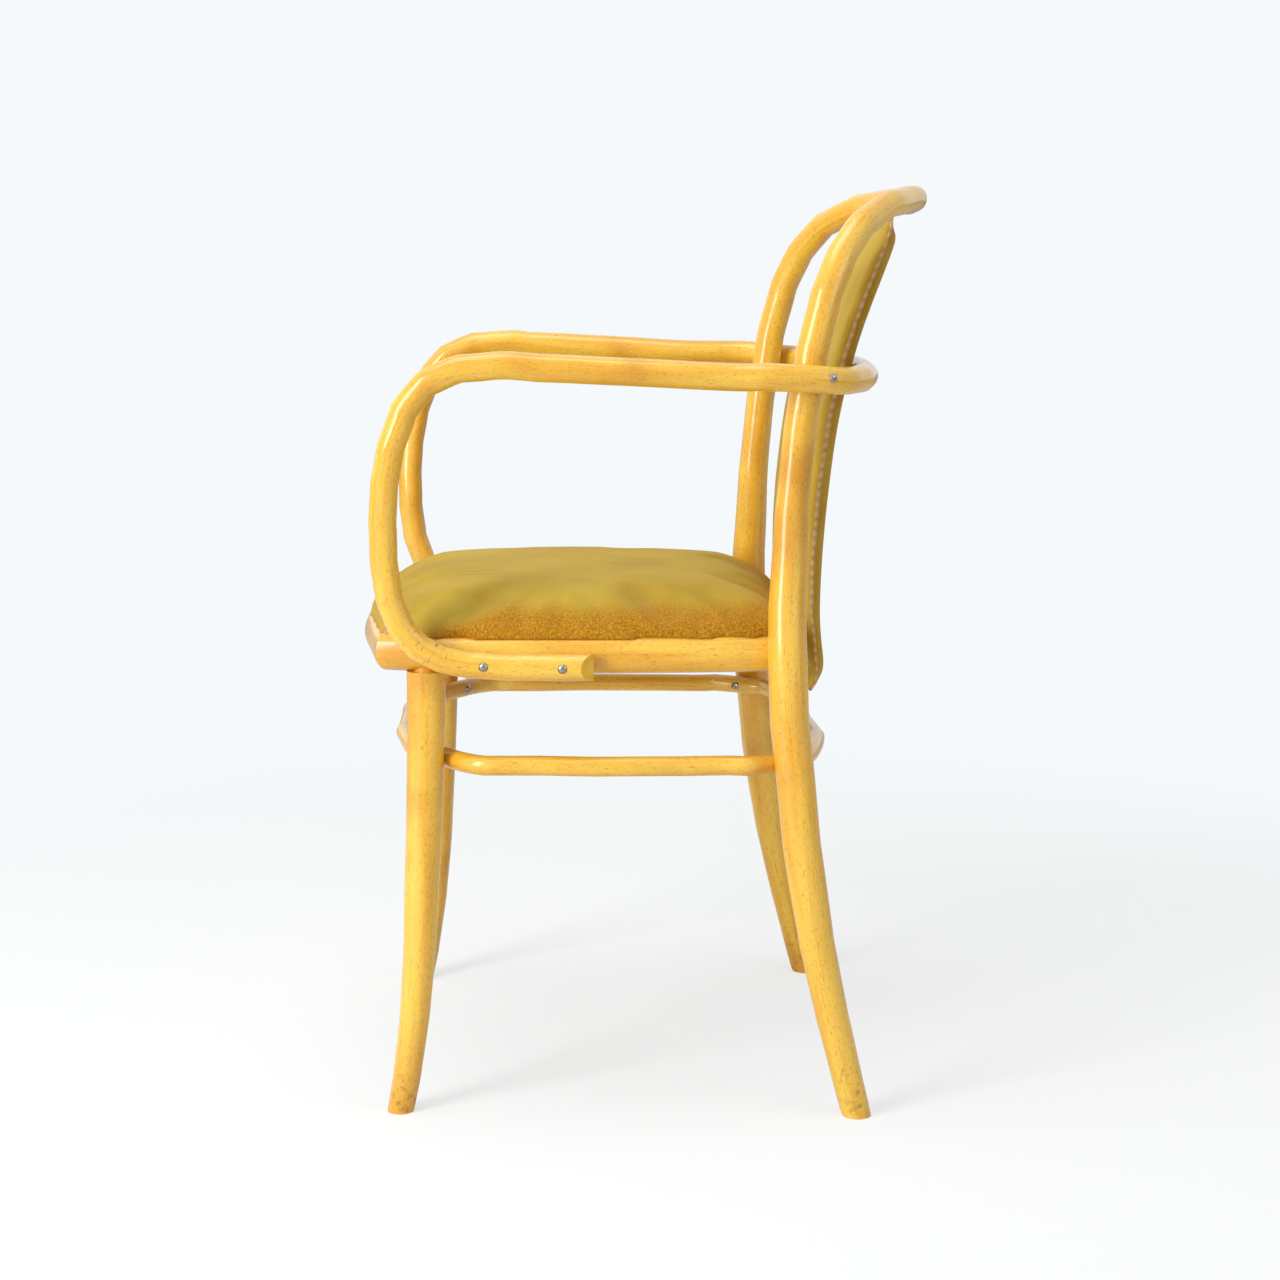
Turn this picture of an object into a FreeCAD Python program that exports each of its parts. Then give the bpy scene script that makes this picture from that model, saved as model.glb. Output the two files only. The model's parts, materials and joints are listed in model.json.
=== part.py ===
"""Bentwood armchair with an upholstered seat and back.

Millimetres. +Z is up, the sitter faces -Y, and +X is the sitter's left. The origin lies on the
floor, under the middle of the chair.
"""
import FreeCAD
import Part
import math
import os

Vec = FreeCAD.Vector
TOUCH = 1e-6
STRAIGHT = 1e-9
DOME_STEPS = 5
OUTLINE_SAMPLES = 801

# Driving sizes
SIZES = {
    # heights
    "crown_centre_height": 814, "seat_height": 431, "arm_centre_height": 669.5,
    "stretcher_height": 317.6, "arm_foot_height": 408,
    # plan of the seat ring
    "seat_half_width": 209, "seat_front_reach": 260, "seat_back_reach": 143,
    "ring_height": 32, "ring_width": 32, "ring_round": 9, "bend_step": 13,
    # rear legs and back, one bent rod
    "rear_leg_reach": 121, "back_rake": 128, "rear_splay": 16, "rear_kick": 67.5,
    "leg_housing": 0.3, "rear_foot_radius": 13, "bow_knee_radius": 17, "bow_seat_radius": 17.5,
    "bow_shoulder_radius": 14.3, "bow_back_radius": 13.6, "bow_crown_radius": 12,
    # front legs
    "front_leg_reach": 197.5, "front_leg_proud": 1.5, "front_splay": 21, "front_kick": 24.5,
    "front_foot_radius": 11.8, "front_mid_radius": 15.4, "front_top_radius": 17.3,
    "tenon_radius": 11, "tenon_length": 24,
    # arm bow
    "arm_radius": 12, "arm_flat": 1.6, "arm_flare": 22.5, "arm_front_reach": 231.5,
    "arm_foot_end": 50, "arm_end_bevel": 11,
    # lower ring
    "stretcher_radius": 8.8, "stretcher_half_width": 211, "stretcher_front_reach": 222,
    "stretcher_back_reach": 157,
    # seat upholstery
    "board_thick": 8, "seat_inset": 6, "seat_crown": 41, "cover_thick": 1.4, "cloth_thick": 1,
    # back panel
    "panel_half_width": 165, "panel_bottom_height": 372, "panel_rise": 428,
    "panel_thick": 25, "panel_hollow": 0.5, "panel_bulge": 13,
    # fastenings
    "screw_head_radius": 4, "screw_head_rise": 2.2, "screw_shank_radius": 1.9,
    "slot_width": 0.9, "slot_depth": 1.0,
    "arm_screw_length": 34, "leg_screw_length": 36, "leg_screw_rise": 3, "stretcher_screw_length": 30,
    "panel_screw_length": 40, "seat_screw_length": 34,
    "seat_screw_inset": 21,
    "bolt_head_radius": 7, "bolt_head_height": 4.5, "bolt_shank_radius": 3, "bolt_length": 48,
    "washer_radius": 9.5, "washer_thick": 1.6,
    # clearances
    "seat_gap": 0.3, "splay_gap": 0.6, "rake_gap": 1.1, "hole_gap": 0.15, "overrun": 5,
}

# The rear legs and back from foot to crown. Shares: of the splay outwards, of the kick
# backwards, and of the height of the seat ring's middle.
BOW_LEG_SHARES = [
    (0.97, 1.000, 0.000),
    (0.98, 0.770, 0.145),
    (1.00, 0.554, 0.290),
    (1.00, 0.323, 0.482),
    (0.72, 0.126, 0.723),
    (0.00, 0.000, 1.000),
]
# Shares of the half width at the seat, of the rake and of the rise from ring to crown.
BOW_BACK_SHARES = [
    (0.961, 0.008, 0.213),
    (0.946, 0.042, 0.414),
    (0.940, 0.105, 0.589),
    (0.922, 0.194, 0.739),
    (0.874, 0.297, 0.840),
    (0.792, 0.418, 0.908),
    (0.628, 0.617, 0.967),
    (0.380, 0.855, 0.997),
    (0.000, 1.000, 1.000),
]
# Where the rod has each radius, as a share of the crown's height.
BOW_RADIUS_SHARES = [
    (0.00, "rear_foot_radius"),
    (0.28, "bow_knee_radius"),
    (0.51, "bow_seat_radius"),
    (0.70, "bow_shoulder_radius"),
    (0.93, "bow_back_radius"),
    (1.00, "bow_crown_radius"),
]
# A front leg from foot to ring. Shares of the splay, of the kick and of the leg's height.
FRONT_LEG_SHARES = [
    (1.00, 1.00, 0.00),
    (0.97, 0.61, 0.15),
    (0.88, 0.36, 0.30),
    (0.62, 0.20, 0.50),
    (0.24, 0.06, 0.75),
    (0.00, 0.00, 1.00),
]
# Where a front leg has each radius, as a share of the leg's height.
FRONT_RADIUS_SHARES = [
    (0.0, "front_foot_radius"),
    (0.5, "front_mid_radius"),
    (1.0, "front_top_radius"),
]
# Half of the seat ring's outline. Shares of the half width, and of the front or back reach, and
# the heading there in degrees from +X.
RING_SHARES = [
    (0.000, -1.000, 0),
    (0.560, -0.969, 8),
    (0.985, -0.700, 85),
    (1.000, -0.380, 90),
    (0.978, 0.300, 94),
    (0.945, 0.700, 100),
    (0.755, 0.975, 177),
    (0.000, 1.000, 180),
]
# The ring's rounded outer face from its underside to its top. Shares of the ring's height, and
# of the rounding by which the outline is drawn in there.
RING_FACE_SHARES = [
    (0.00, 1.00),
    (0.08, 0.55),
    (0.22, 0.16),
    (0.42, 0.00),
    (0.60, 0.02),
    (0.80, 0.20),
    (0.93, 0.55),
    (1.00, 0.90),
]
# The arm from its end on the ring to the rear leg. Shares of the flare outwards, of the front
# or rear leg reach, and of the rise from the arm's foot.
ARM_SHARES = [
    (0.02, -0.432, 0.000),
    (0.03, -0.626, 0.006),
    (0.09, -0.743, 0.019),
    (0.18, -0.834, 0.050),
    (0.27, -0.907, 0.103),
    (0.37, -0.959, 0.184),
    (0.45, -0.989, 0.294),
    (0.51, -1.000, 0.428),
    (0.62, -0.998, 0.551),
    (0.76, -0.981, 0.673),
    (0.90, -0.942, 0.799),
    (0.97, -0.877, 0.906),
    (1.00, -0.778, 0.972),
    (0.98, -0.639, 1.000),
    (0.93, -0.419, 0.998),
    (0.78, -0.199, 0.990),
    (0.60, 0.041, 0.981),
    (0.41, 0.471, 0.971),
]
# Drop of the arm from its highest point to the rear legs and the back, shares of its rise.
ARM_REAR_SHARES = (0.965, 0.957, 0.955)
# Where the arm passes the rear leg, as angles in degrees round the leg from outside to behind.
ARM_WRAP_ANGLES = (-4, 48)
# Rows of the arm's points that lie along the seat ring, and the last one beside the rear leg.
ARM_SEAT_ROWS = 5
ARM_WRAP_ROW = len(ARM_SHARES) + len(ARM_WRAP_ANGLES)
# Direction of the screw through the arm into the rear leg, in degrees from outwards.
LEG_SCREW_ANGLE = 28
# The arm bow behind the back panel. Shares of the rear leg's half width, and of the way back
# from the leg to the bow's rearmost point.
ARM_BACK_SHARES = [
    (0.964, 0.638),
    (0.761, 0.844),
    (0.492, 0.955),
    (0.000, 1.000),
]
# The lower ring between the legs. Shares of its half width and of its reaches, and its heading.
STRETCHER_FRONT_SHARES = [
    (0.00, -1.000, 0),
    (0.52, -0.965, 10),
]
STRETCHER_SIDE_SHARES = [
    (0.985, -0.430, 84),
    (1.000, 0.000, 91.5),
    (0.989, 0.357, 95.5),
]
STRETCHER_BACK_SHARES = [
    (0.749, 0.930, 166),
    (0.000, 1.000, 180),
]
# Directions from a leg's centre to where the lower ring touches it, in degrees from outwards.
STRETCHER_FRONT_ANGLE = 124
STRETCHER_REAR_ANGLE = 217
# Seat upholstery: share of the crown's height, and inset as a share of the half width.
SEAT_CROWN_SHARES = [
    (0.00, 0.010),
    (0.16, 0.000),
    (0.36, 0.006),
    (0.56, 0.040),
    (0.72, 0.105),
    (0.85, 0.215),
    (0.94, 0.370),
    (1.00, 0.600),
]
# The board inside the panel, as shares of its thickness from the front.
PANEL_BOARD_SHARES = (0.36, 0.63)
# Bulge of the panel's edges, as a share of their thickness.
PANEL_EDGE_SHARE = 0.3
# Back panel from its lower edge to its top: shares of the rise, of the rake behind the rear
# leg, of the thickness and of the half width.
PANEL_SHARES = [
    (0.000, 0.305, 0.60, 0.900),
    (0.020, 0.345, 0.65, 0.935),
    (0.054, 0.362, 0.76, 0.955),
    (0.103, 0.336, 0.70, 0.965),
    (0.171, 0.330, 0.85, 0.975),
    (0.299, 0.348, 0.96, 0.990),
    (0.439, 0.387, 1.00, 1.000),
    (0.584, 0.450, 1.00, 1.000),
    (0.720, 0.555, 1.00, 0.988),
    (0.813, 0.660, 1.00, 0.950),
    (0.883, 0.754, 0.96, 0.875),
    (0.935, 0.828, 0.88, 0.760),
    (0.972, 0.883, 0.76, 0.590),
    (1.000, 0.914, 0.62, 0.340),
]
# Largest turn of a bent rod between two of its round sections, in degrees.
BEND_TURN = 6
# Places of fastenings, as shares of the reach or half width that each one follows.
ARM_SCREW_SHARES = (-0.297, -0.561)
ARM_BACK_SCREW_SHARE = 0.46
PANEL_SCREW_SHARE = 0.55
SEAT_SCREW_SHARES = (0.12, 0.70)

doc = FreeCAD.newDocument("bentwood_armchair")
sheet = doc.addObject("Spreadsheet::Sheet", "Sizes")
for row, (alias, value) in enumerate(SIZES.items(), start=1):
    sheet.set(f"A{row}", alias)
    sheet.set(f"B{row}", str(value))
    sheet.setAlias(f"B{row}", alias)
doc.recompute()


def size(alias):
    """Reads one driving size from the sheet."""
    return float(sheet.get(alias))


# Rods and outlines


def tangents(points, closed):
    """Unit tangents of the circles through each point and its two neighbours."""
    count = len(points)
    found = []
    for i, point in enumerate(points):
        if not closed and i in (0, count - 1):
            found.append(None)
            continue
        before = point - points[i - 1]
        after = points[(i + 1) % count] - point
        tangent = before / before.Length ** 2 + after / after.Length ** 2
        found.append(tangent.normalize())
    if not closed:
        for end, inner in ((0, 1), (count - 1, count - 2)):
            chord = (points[inner] - points[end]).normalize()
            found[end] = chord * (2 * chord.dot(found[inner])) - found[inner]
    return found


def tangent_arc(start, corner, end):
    """The arc that leaves start towards corner and reaches end from it."""
    middle = (start + end) / 2
    half_chord = (end - start).Length / 2
    leg = (corner - start).Length
    cosine = min(1.0, half_chord / leg)
    if cosine > 1 - STRAIGHT:
        return Part.LineSegment(start, end)
    on_arc = middle + (corner - middle) * (cosine / (1 + cosine))
    return Part.Arc(start, on_arc, end)


def biarcs(points, closed=False, directions=None):
    """A smooth chain of arcs through the points, two arcs to each span."""
    directions = directions or tangents(points, closed)
    curves = []
    count = len(points)
    for i in range(count if closed else count - 1):
        a, b = points[i], points[(i + 1) % count]
        ta, tb = directions[i], directions[(i + 1) % count]
        chord = b - a
        both = ta + tb
        spread = 2 * (1 - ta.dot(tb))
        along = chord.dot(both)
        if spread < STRAIGHT:
            reach = chord.dot(chord) / (2 * along)
        else:
            reach = (math.sqrt(along ** 2 + 2 * spread * chord.dot(chord)) - along) / spread
        joint = (a + b + (ta - tb) * reach) / 2
        curves.append(tangent_arc(a, a + ta * reach, joint))
        curves.append(tangent_arc(joint, b - tb * reach, b))
    return curves


def wire_of(curves):
    """One wire from curves that follow each other."""
    return Part.Wire([curve.toShape() for curve in curves])


def mirrored(points):
    """A half chain that ends on the mirror plane, made whole."""
    return points + [Vec(-p.x, p.y, p.z) for p in reversed(points)][1:]


def directed(headings):
    """Level directions from headings in degrees."""
    turns = [math.radians(heading) for heading in headings]
    return [Vec(math.cos(turn), math.sin(turn), 0) for turn in turns]


def mirrored_ring(points, headings):
    """Arcs of a closed outline, from half of its points and their headings in degrees."""
    directions = directed(headings)
    points = points + [Vec(-p.x, p.y, p.z) for p in reversed(points)][1:-1]
    directions = directions + [Vec(d.x, -d.y, 0) for d in reversed(directions)][1:-1]
    return biarcs(points, True, directions)


def interpolate(table, place):
    """A value between rows of (place, value), held at both ends."""
    if place <= table[0][0]:
        return table[0][1]
    for (low, first), (high, second) in zip(table, table[1:]):
        if place <= high:
            return first + (second - first) * (place - low) / (high - low)
    return table[-1][1]


def rings_along(stations, radius_at):
    """Circles square to a chain of stations, each turned as little as can be from the last."""
    first = stations[1] - stations[0]
    across = Vec(0, 0, 1) if abs(first.z) < abs(first.y) else Vec(0, 1, 0)
    last = len(stations) - 1
    circles = []
    for i, centre in enumerate(stations):
        along = (stations[min(i + 1, last)] - stations[max(i - 1, 0)]).normalize()
        along = squared(centre, along)
        across = (across - along * across.dot(along)).normalize()
        turn = FreeCAD.Rotation(across, along.cross(across), along, "XZY")
        circle = Part.Wire([Part.makeCircle(radius_at(centre.z))])
        circle.Placement = FreeCAD.Placement(centre, turn)
        circles.append(circle)
    return circles


def stations_along(curves):
    """Points along a chain of arcs, closer together where the chain bends more."""
    stations = []
    for curve in curves:
        edge = curve.toShape()
        ahead = edge.tangentAt(edge.LastParameter)
        turn = math.degrees(edge.tangentAt(edge.FirstParameter).getAngle(ahead))
        steps = 1 + int(max(edge.Length / size("bend_step"), turn / BEND_TURN))
        stations += edge.discretize(Number=steps + 1)[:-1]
    return stations + [edge.valueAt(edge.LastParameter)]


def tapered_rod(curves, radius_at):
    """A round rod along smooth arcs, its radius given by a function of the height."""
    return Part.makeLoft(rings_along(stations_along(curves), radius_at), True, True)


def squared(end, along):
    """Squares a rod's section to the floor and to the mirror plane where it ends there."""
    if abs(end.z) < TOUCH:
        return Vec(0, 0, math.copysign(1, along.z))
    if abs(end.x) < TOUCH:
        return Vec(math.copysign(1, along.x), 0, 0)
    return along


def closed_rod(half, radius):
    """A round rod bent into a closed ring, from the arcs of its half on +X."""
    side = tapered_rod(half, lambda height: radius)
    return side.fuse(side.mirror(Vec(), Vec(1, 0, 0)))


def ring_outline(inset=0.0, height=0.0, scale=1.0):
    """The seat ring's outline as arcs, drawn in by the inset and then scaled in plan."""
    points = []
    for x_share, y_share, heading in RING_SHARES:
        reach = size("seat_front_reach") if y_share < 0 else size("seat_back_reach")
        turn = math.radians(heading)
        x = x_share * size("seat_half_width") - inset * math.sin(turn)
        y = y_share * reach + inset * math.cos(turn)
        points.append(Vec(x * scale, y * scale, height))
    return mirrored_ring(points, [heading for x_share, y_share, heading in RING_SHARES])


def outline_prism(inset, bottom, height):
    """The seat ring's outline as a solid block."""
    wire = wire_of(ring_outline(inset, bottom))
    return Part.Face(wire).extrude(Vec(0, 0, height))


outline_samples = wire_of(ring_outline()).discretize(Number=OUTLINE_SAMPLES)
outline_half = outline_samples[:OUTLINE_SAMPLES // 2]


def ring_side(reach):
    """Half width of the seat ring's outline at a place along Y."""
    return interpolate([(p.y, p.x) for p in outline_half], reach)


def under_ring_at(share):
    """A point under the ring's wood, at a share of its half length from the front."""
    samples = wire_of(ring_outline(size("seat_screw_inset"))).discretize(Number=OUTLINE_SAMPLES)
    found = samples[int(share * len(samples) / 2)]
    return Vec(found.x, found.y, ring_bottom)


# Places that pieces share

ring_bottom = size("seat_height") - size("ring_height")
ring_middle = size("seat_height") - size("ring_height") / 2
rear_leg_x = ring_side(size("rear_leg_reach")) - size("leg_housing") + size("bow_seat_radius")
front_leg_x = (ring_side(-size("front_leg_reach")) + size("front_leg_proud")
               - size("front_top_radius"))


def bow_points():
    """Half of the rear leg and back rod, from the foot to the crown."""
    leg_y = size("rear_leg_reach")
    half = []
    for out, back, up in BOW_LEG_SHARES:
        half.append(Vec(rear_leg_x + out * size("rear_splay"),
                        leg_y + back * size("rear_kick"), up * ring_middle))
    rise = size("crown_centre_height") - ring_middle
    for out, back, up in BOW_BACK_SHARES:
        half.append(Vec(out * rear_leg_x, leg_y + back * size("back_rake"),
                        ring_middle + up * rise))
    return half


def bow_radius(height):
    """The rod is thickest at the seat and thins to the foot and to the crown."""
    rows = [(share, size(alias)) for share, alias in BOW_RADIUS_SHARES]
    return interpolate(rows, height / size("crown_centre_height"))


def front_leg_points():
    """A front leg's line from the foot to the ring."""
    return [Vec(front_leg_x + out * size("front_splay"),
                -size("front_leg_reach") - forward * size("front_kick"), up * ring_bottom)
            for out, forward, up in FRONT_LEG_SHARES]


def front_leg_radius(height):
    """A front leg thins towards the foot."""
    rows = [(share, size(alias)) for share, alias in FRONT_RADIUS_SHARES]
    return interpolate(rows, height / ring_bottom)


def line_at(points, height):
    """Centre of a leg's line at a height."""
    x = interpolate([(p.z, p.x) for p in points], height)
    y = interpolate([(p.z, p.y) for p in points], height)
    return Vec(x, y, height)


def beside(centre, distance, degrees):
    """A point at a distance from a leg's centre, in a direction turned from outwards to back."""
    angle = math.radians(degrees)
    return centre + Vec(math.cos(angle), math.sin(angle), 0) * distance


def arm_points():
    """Half of the arm bow, from its end on the ring to the middle of the back."""
    rise = size("arm_centre_height") - size("arm_foot_height")
    foot_x = ring_side(-size("arm_foot_end")) + size("arm_radius") - size("arm_flat")
    half = []
    first_y = -size("arm_foot_end")
    half.append(Vec(foot_x, first_y, size("arm_foot_height")))
    for out, along, up in ARM_SHARES:
        reach = size("arm_front_reach") if along < 0 else size("rear_leg_reach")
        half.append(Vec(foot_x + out * size("arm_flare"), along * reach,
                        size("arm_foot_height") + up * rise))
    heights = [size("arm_foot_height") + share * rise for share in ARM_REAR_SHARES]
    leg = line_at(bow_points(), heights[0])
    away = bow_radius(leg.z) + size("arm_radius") + size("rake_gap")
    for angle, height in zip(ARM_WRAP_ANGLES, heights):
        point = beside(leg, away, angle)
        half.append(Vec(point.x, point.y, height))
    behind = panel_rear(heights[2]) + size("arm_radius") + size("seat_gap") * 2
    for out, back in ARM_BACK_SHARES:
        half.append(Vec(out * leg.x, leg.y + back * (behind - leg.y), heights[2]))
    return half


def stretcher_points():
    """Half of the lower ring, which runs inside the four legs."""
    height = size("stretcher_height")

    def shared(rows):
        points = []
        for out, along, heading in rows:
            reach = size("stretcher_front_reach") if along < 0 else size("stretcher_back_reach")
            points.append(Vec(out * size("stretcher_half_width"), along * reach, height))
        return points

    front = line_at(front_leg_points(), height)
    rear = line_at(bow_points(), height)
    to_front = front_leg_radius(height) + size("stretcher_radius") + size("splay_gap")
    to_rear = bow_radius(height) + size("stretcher_radius") + size("splay_gap")
    return (shared(STRETCHER_FRONT_SHARES)
            + [beside(front, to_front, STRETCHER_FRONT_ANGLE)]
            + shared(STRETCHER_SIDE_SHARES)
            + [beside(rear, to_rear, STRETCHER_REAR_ANGLE)]
            + shared(STRETCHER_BACK_SHARES))


def stretcher_half():
    """Half of the lower ring's line, square to the legs where it touches them."""
    headings = [row[2] for row in STRETCHER_FRONT_SHARES]
    headings.append(STRETCHER_FRONT_ANGLE - 90)
    headings += [row[2] for row in STRETCHER_SIDE_SHARES]
    headings.append(STRETCHER_REAR_ANGLE - 90)
    headings += [row[2] for row in STRETCHER_BACK_SHARES]
    return biarcs(stretcher_points(), False, directed(headings))


def panel_rear(height):
    """How far back the panel's rear face reaches at its middle."""
    rows = [(size("panel_bottom_height") + up * size("panel_rise"),
             size("rear_leg_reach") + back * size("back_rake"))
            for up, back, thick, wide in PANEL_SHARES]
    return interpolate(rows, height)


# Document objects


def feature(label, shape):
    """A finished piece whose shape is worked out above."""
    made = doc.addObject("Part::Feature", label)
    made.Label = label
    made.Shape = shape
    made.Placement = FreeCAD.Placement()
    return made


def cut(label, base, tools):
    """A piece with holes or housings cut out of it."""
    base.Label = label + "_blank"
    joined = tools[0].multiFuse(tools[1:]) if len(tools) > 1 else tools[0]
    tool = feature(label + "_cutters", joined)
    made = doc.addObject("Part::Cut", label)
    made.Base = base
    made.Tool = tool
    made.Label = label
    return made


def plane_of(body, role):
    """One of a body's own origin planes."""
    return next(f for f in body.Origin.OriginFeatures if f.Role == role)


def sketch_on(body, name, role):
    """An empty sketch on an origin plane of the body."""
    made = body.newObject("Sketcher::SketchObject", name)
    made.AttachmentSupport = [(plane_of(body, role), "")]
    made.MapMode = "FlatFace"
    return made


def ring_pad(label, outlines, bottom, length_alias):
    """A flat piece with the seat's outline, padded upwards."""
    body = doc.addObject("PartDesign::Body", label)
    body.Label = label
    sketch = sketch_on(body, label + "_outline", "XY_Plane")
    for inset in outlines:
        for curve in ring_outline(inset):
            sketch.addGeometry(curve, False)
    pad = body.newObject("PartDesign::Pad", label + "_pad")
    pad.Profile = sketch
    pad.setExpression("Length", f"Sizes.{length_alias}")
    body.Placement = FreeCAD.Placement(Vec(0, 0, bottom), FreeCAD.Rotation())
    doc.recompute()
    return body


def turned(label, profile):
    """A turned piece about +Z from half its profile, given as (radius, height) points."""
    body = doc.addObject("PartDesign::Body", label)
    sketch = sketch_on(body, label + "_profile", "XZ_Plane")
    points = [Vec(r, z, 0) for r, z in profile]
    for a, b in zip(points, points[1:] + points[:1]):
        sketch.addGeometry(Part.LineSegment(a, b), False)
    spin = body.newObject("PartDesign::Revolution", label + "_turned")
    spin.Profile = sketch
    spin.ReferenceAxis = (sketch, ["V_Axis"])
    spin.Angle = 360
    doc.recompute()
    return body


def screw_body(label, length_alias, slotted=True):
    """A domed screw. Its head's flat underside is at the origin and its shank runs to -Z."""
    head, rise = size("screw_head_radius"), size("screw_head_rise")
    shank, length = size("screw_shank_radius"), size(length_alias)
    turns = [math.radians(90 * i / DOME_STEPS) for i in range(DOME_STEPS)]
    dome = [(head * math.cos(turn), rise * math.sin(turn)) for turn in turns] + [(0, rise)]
    body = turned(label, dome + [(0, -length), (shank, shank - length), (shank, 0)])
    if not slotted:
        return body
    slot = doc.addObject("Part::Box", label + "_slot")
    slot.setExpression("Length", "2 * (Sizes.screw_head_radius + Sizes.overrun)")
    slot.setExpression("Width", "Sizes.slot_width")
    slot.setExpression("Height", "Sizes.screw_head_rise")
    slot.Placement.Base = Vec(-head - size("overrun"), -size("slot_width") / 2,
                              rise - size("slot_depth"))
    made = doc.addObject("Part::Cut", label + "_slotted")
    made.Base = body
    made.Tool = slot
    doc.recompute()
    return made


def placed(shape, point, outwards):
    """A copy of a fastening whose head faces outwards from a point."""
    copy = shape.copy()
    copy.Placement = FreeCAD.Placement(point, FreeCAD.Rotation(Vec(0, 0, 1), outwards))
    return copy


def drill(point, inwards, radius, depth):
    """A cylinder that cuts a hole from just outside the point."""
    start = point - inwards * size("overrun")
    return Part.makeCylinder(radius, depth + size("overrun"), start, inwards)


def both_sides(pairs):
    """Points and directions on +X, and their mirror images."""
    found = list(pairs)
    for point, direction in pairs:
        found.append((Vec(-point.x, point.y, point.z), Vec(-direction.x, direction.y,
                                                           direction.z)))
    return found


# Where each fastening's head sits, and the way out of the wood there


def arm_at(reach):
    """The arm's centre over the seat ring at a place along Y."""
    rows = arm_points()[:ARM_SEAT_ROWS]
    return Vec(interpolate([(-p.y, p.x) for p in rows], -reach), reach,
               interpolate([(-p.y, p.z) for p in rows], -reach))


head_seat = size("arm_radius") - size("screw_head_rise") / 2
arm_screws = both_sides([
    (arm_at(share * size("seat_front_reach")) + Vec(head_seat, 0, 0), Vec(1, 0, 0))
    for share in ARM_SCREW_SHARES])

wrap_height = arm_points()[ARM_WRAP_ROW].z + size("leg_screw_rise")
wrap_leg = line_at(bow_points(), wrap_height)
wrap_reach = bow_radius(wrap_height) + size("arm_radius") + size("rake_gap") + head_seat
wrap_head = beside(wrap_leg, wrap_reach, LEG_SCREW_ANGLE)
leg_screws = both_sides([(wrap_head, (wrap_head - wrap_leg).normalize())])


def arm_behind(x):
    """The arm bow's centre behind the back panel."""
    rows = arm_points()[-len(ARM_BACK_SHARES):]
    return Vec(x, interpolate([(-p.x, p.y) for p in rows], -x), rows[-1].z)


back_screws = both_sides([
    (arm_behind(ARM_BACK_SCREW_SHARE * rear_leg_x) + Vec(0, head_seat, 0), Vec(0, 1, 0))])

stretcher_row = stretcher_points()
front_touch = stretcher_row[len(STRETCHER_FRONT_SHARES)]
rear_touch = stretcher_row[len(STRETCHER_FRONT_SHARES) + len(STRETCHER_SIDE_SHARES) + 1]
stretcher_seat = size("stretcher_radius") - size("screw_head_rise") / 2
stretcher_pairs = []
for touch, leg_line in ((front_touch, front_leg_points()), (rear_touch, bow_points())):
    inwards = (touch - line_at(leg_line, touch.z)).normalize()
    stretcher_pairs.append((touch + inwards * stretcher_seat, inwards))
stretcher_screws = both_sides(stretcher_pairs)



def leg_bolt_seat():
    """The inside of the ring opposite a rear leg's middle, and the way in from there."""
    leg = line_at(bow_points(), ring_middle)
    inner = wire_of(ring_outline(size("ring_width"), ring_middle))
    found = inner.distToShape(Part.Vertex(leg))[1][0][0]
    inwards = Vec(found.x - leg.x, found.y - leg.y, 0).normalize()
    flat = size("washer_radius") ** 2 / size("ring_width")
    return found - inwards * flat, inwards


bolt_seat, bolt_way = leg_bolt_seat()
leg_bolts = both_sides([(bolt_seat + bolt_way * size("washer_thick"), bolt_way)])
washer_seats = both_sides([(bolt_seat, bolt_way)])
panel_screws = both_sides([
    (Vec(PANEL_SCREW_SHARE * size("panel_half_width"),
         size("seat_back_reach") - size("ring_width"), ring_middle), Vec(0, -1, 0))])
seat_screws = both_sides([(under_ring_at(share), Vec(0, 0, -1)) for share in SEAT_SCREW_SHARES])


def shank_holes(pairs, length_alias, radius_alias="screw_shank_radius"):
    """Clearance for shanks, as deep as the fastenings are long."""
    return [drill(point, out * -1, size(radius_alias) + size("hole_gap"),
                  size(length_alias) + size("hole_gap")) for point, out in pairs]


def head_holes(pairs, radius_alias="screw_head_radius"):
    """Flat seats for heads, cut square to the fastening."""
    radius = size(radius_alias) + size("hole_gap")
    return [Part.makeCylinder(radius, size("overrun") * 2, point, out) for point, out in pairs]


def fastening_group(label, source, pairs):
    """Identical fastenings in their places, as one node of separate solids."""
    return feature(label, Part.makeCompound([placed(source.Shape, p, out) for p, out in pairs]))


# Wooden pieces


def make_back_bow():
    """Both rear legs and the back's frame, bent from one rod and housed to the ring."""
    rod = tapered_rod(biarcs(mirrored(bow_points())), bow_radius)
    housing = outline_prism(-size("seat_gap"), ring_bottom - size("seat_gap"),
                            size("ring_height") + size("seat_gap") * 2)
    tools = [housing]
    tools += shank_holes(leg_screws, "leg_screw_length")
    tools += shank_holes(stretcher_screws[1::2], "stretcher_screw_length")
    tools += shank_holes(leg_bolts, "bolt_length", "bolt_shank_radius")
    return cut("back_bow", feature("back_bow_rod", rod), tools)


def make_front_leg(label, side):
    """A tapered leg with a round tenon that stands in the ring."""
    points = [Vec(side * p.x, p.y, p.z) for p in front_leg_points()]
    leg = tapered_rod(biarcs(points), front_leg_radius)
    top = points[-1]
    # the shoulder is square to the ring's underside
    trim = Part.makeBox(size("front_top_radius") * 4, size("front_top_radius") * 4,
                        size("overrun"),
                        Vec(top.x - size("front_top_radius") * 2,
                            top.y - size("front_top_radius") * 2, ring_bottom))
    tenon = Part.makeCylinder(size("tenon_radius"), size("tenon_length") + size("overrun"),
                              top - Vec(0, 0, size("overrun")))
    body = feature(label + "_turned", leg.cut(trim).fuse(tenon).removeSplitter())
    holes = shank_holes(stretcher_screws[0::2], "stretcher_screw_length")
    return cut(label, body, [hole for hole in holes if hole.CenterOfMass.x * side > 0])


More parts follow.
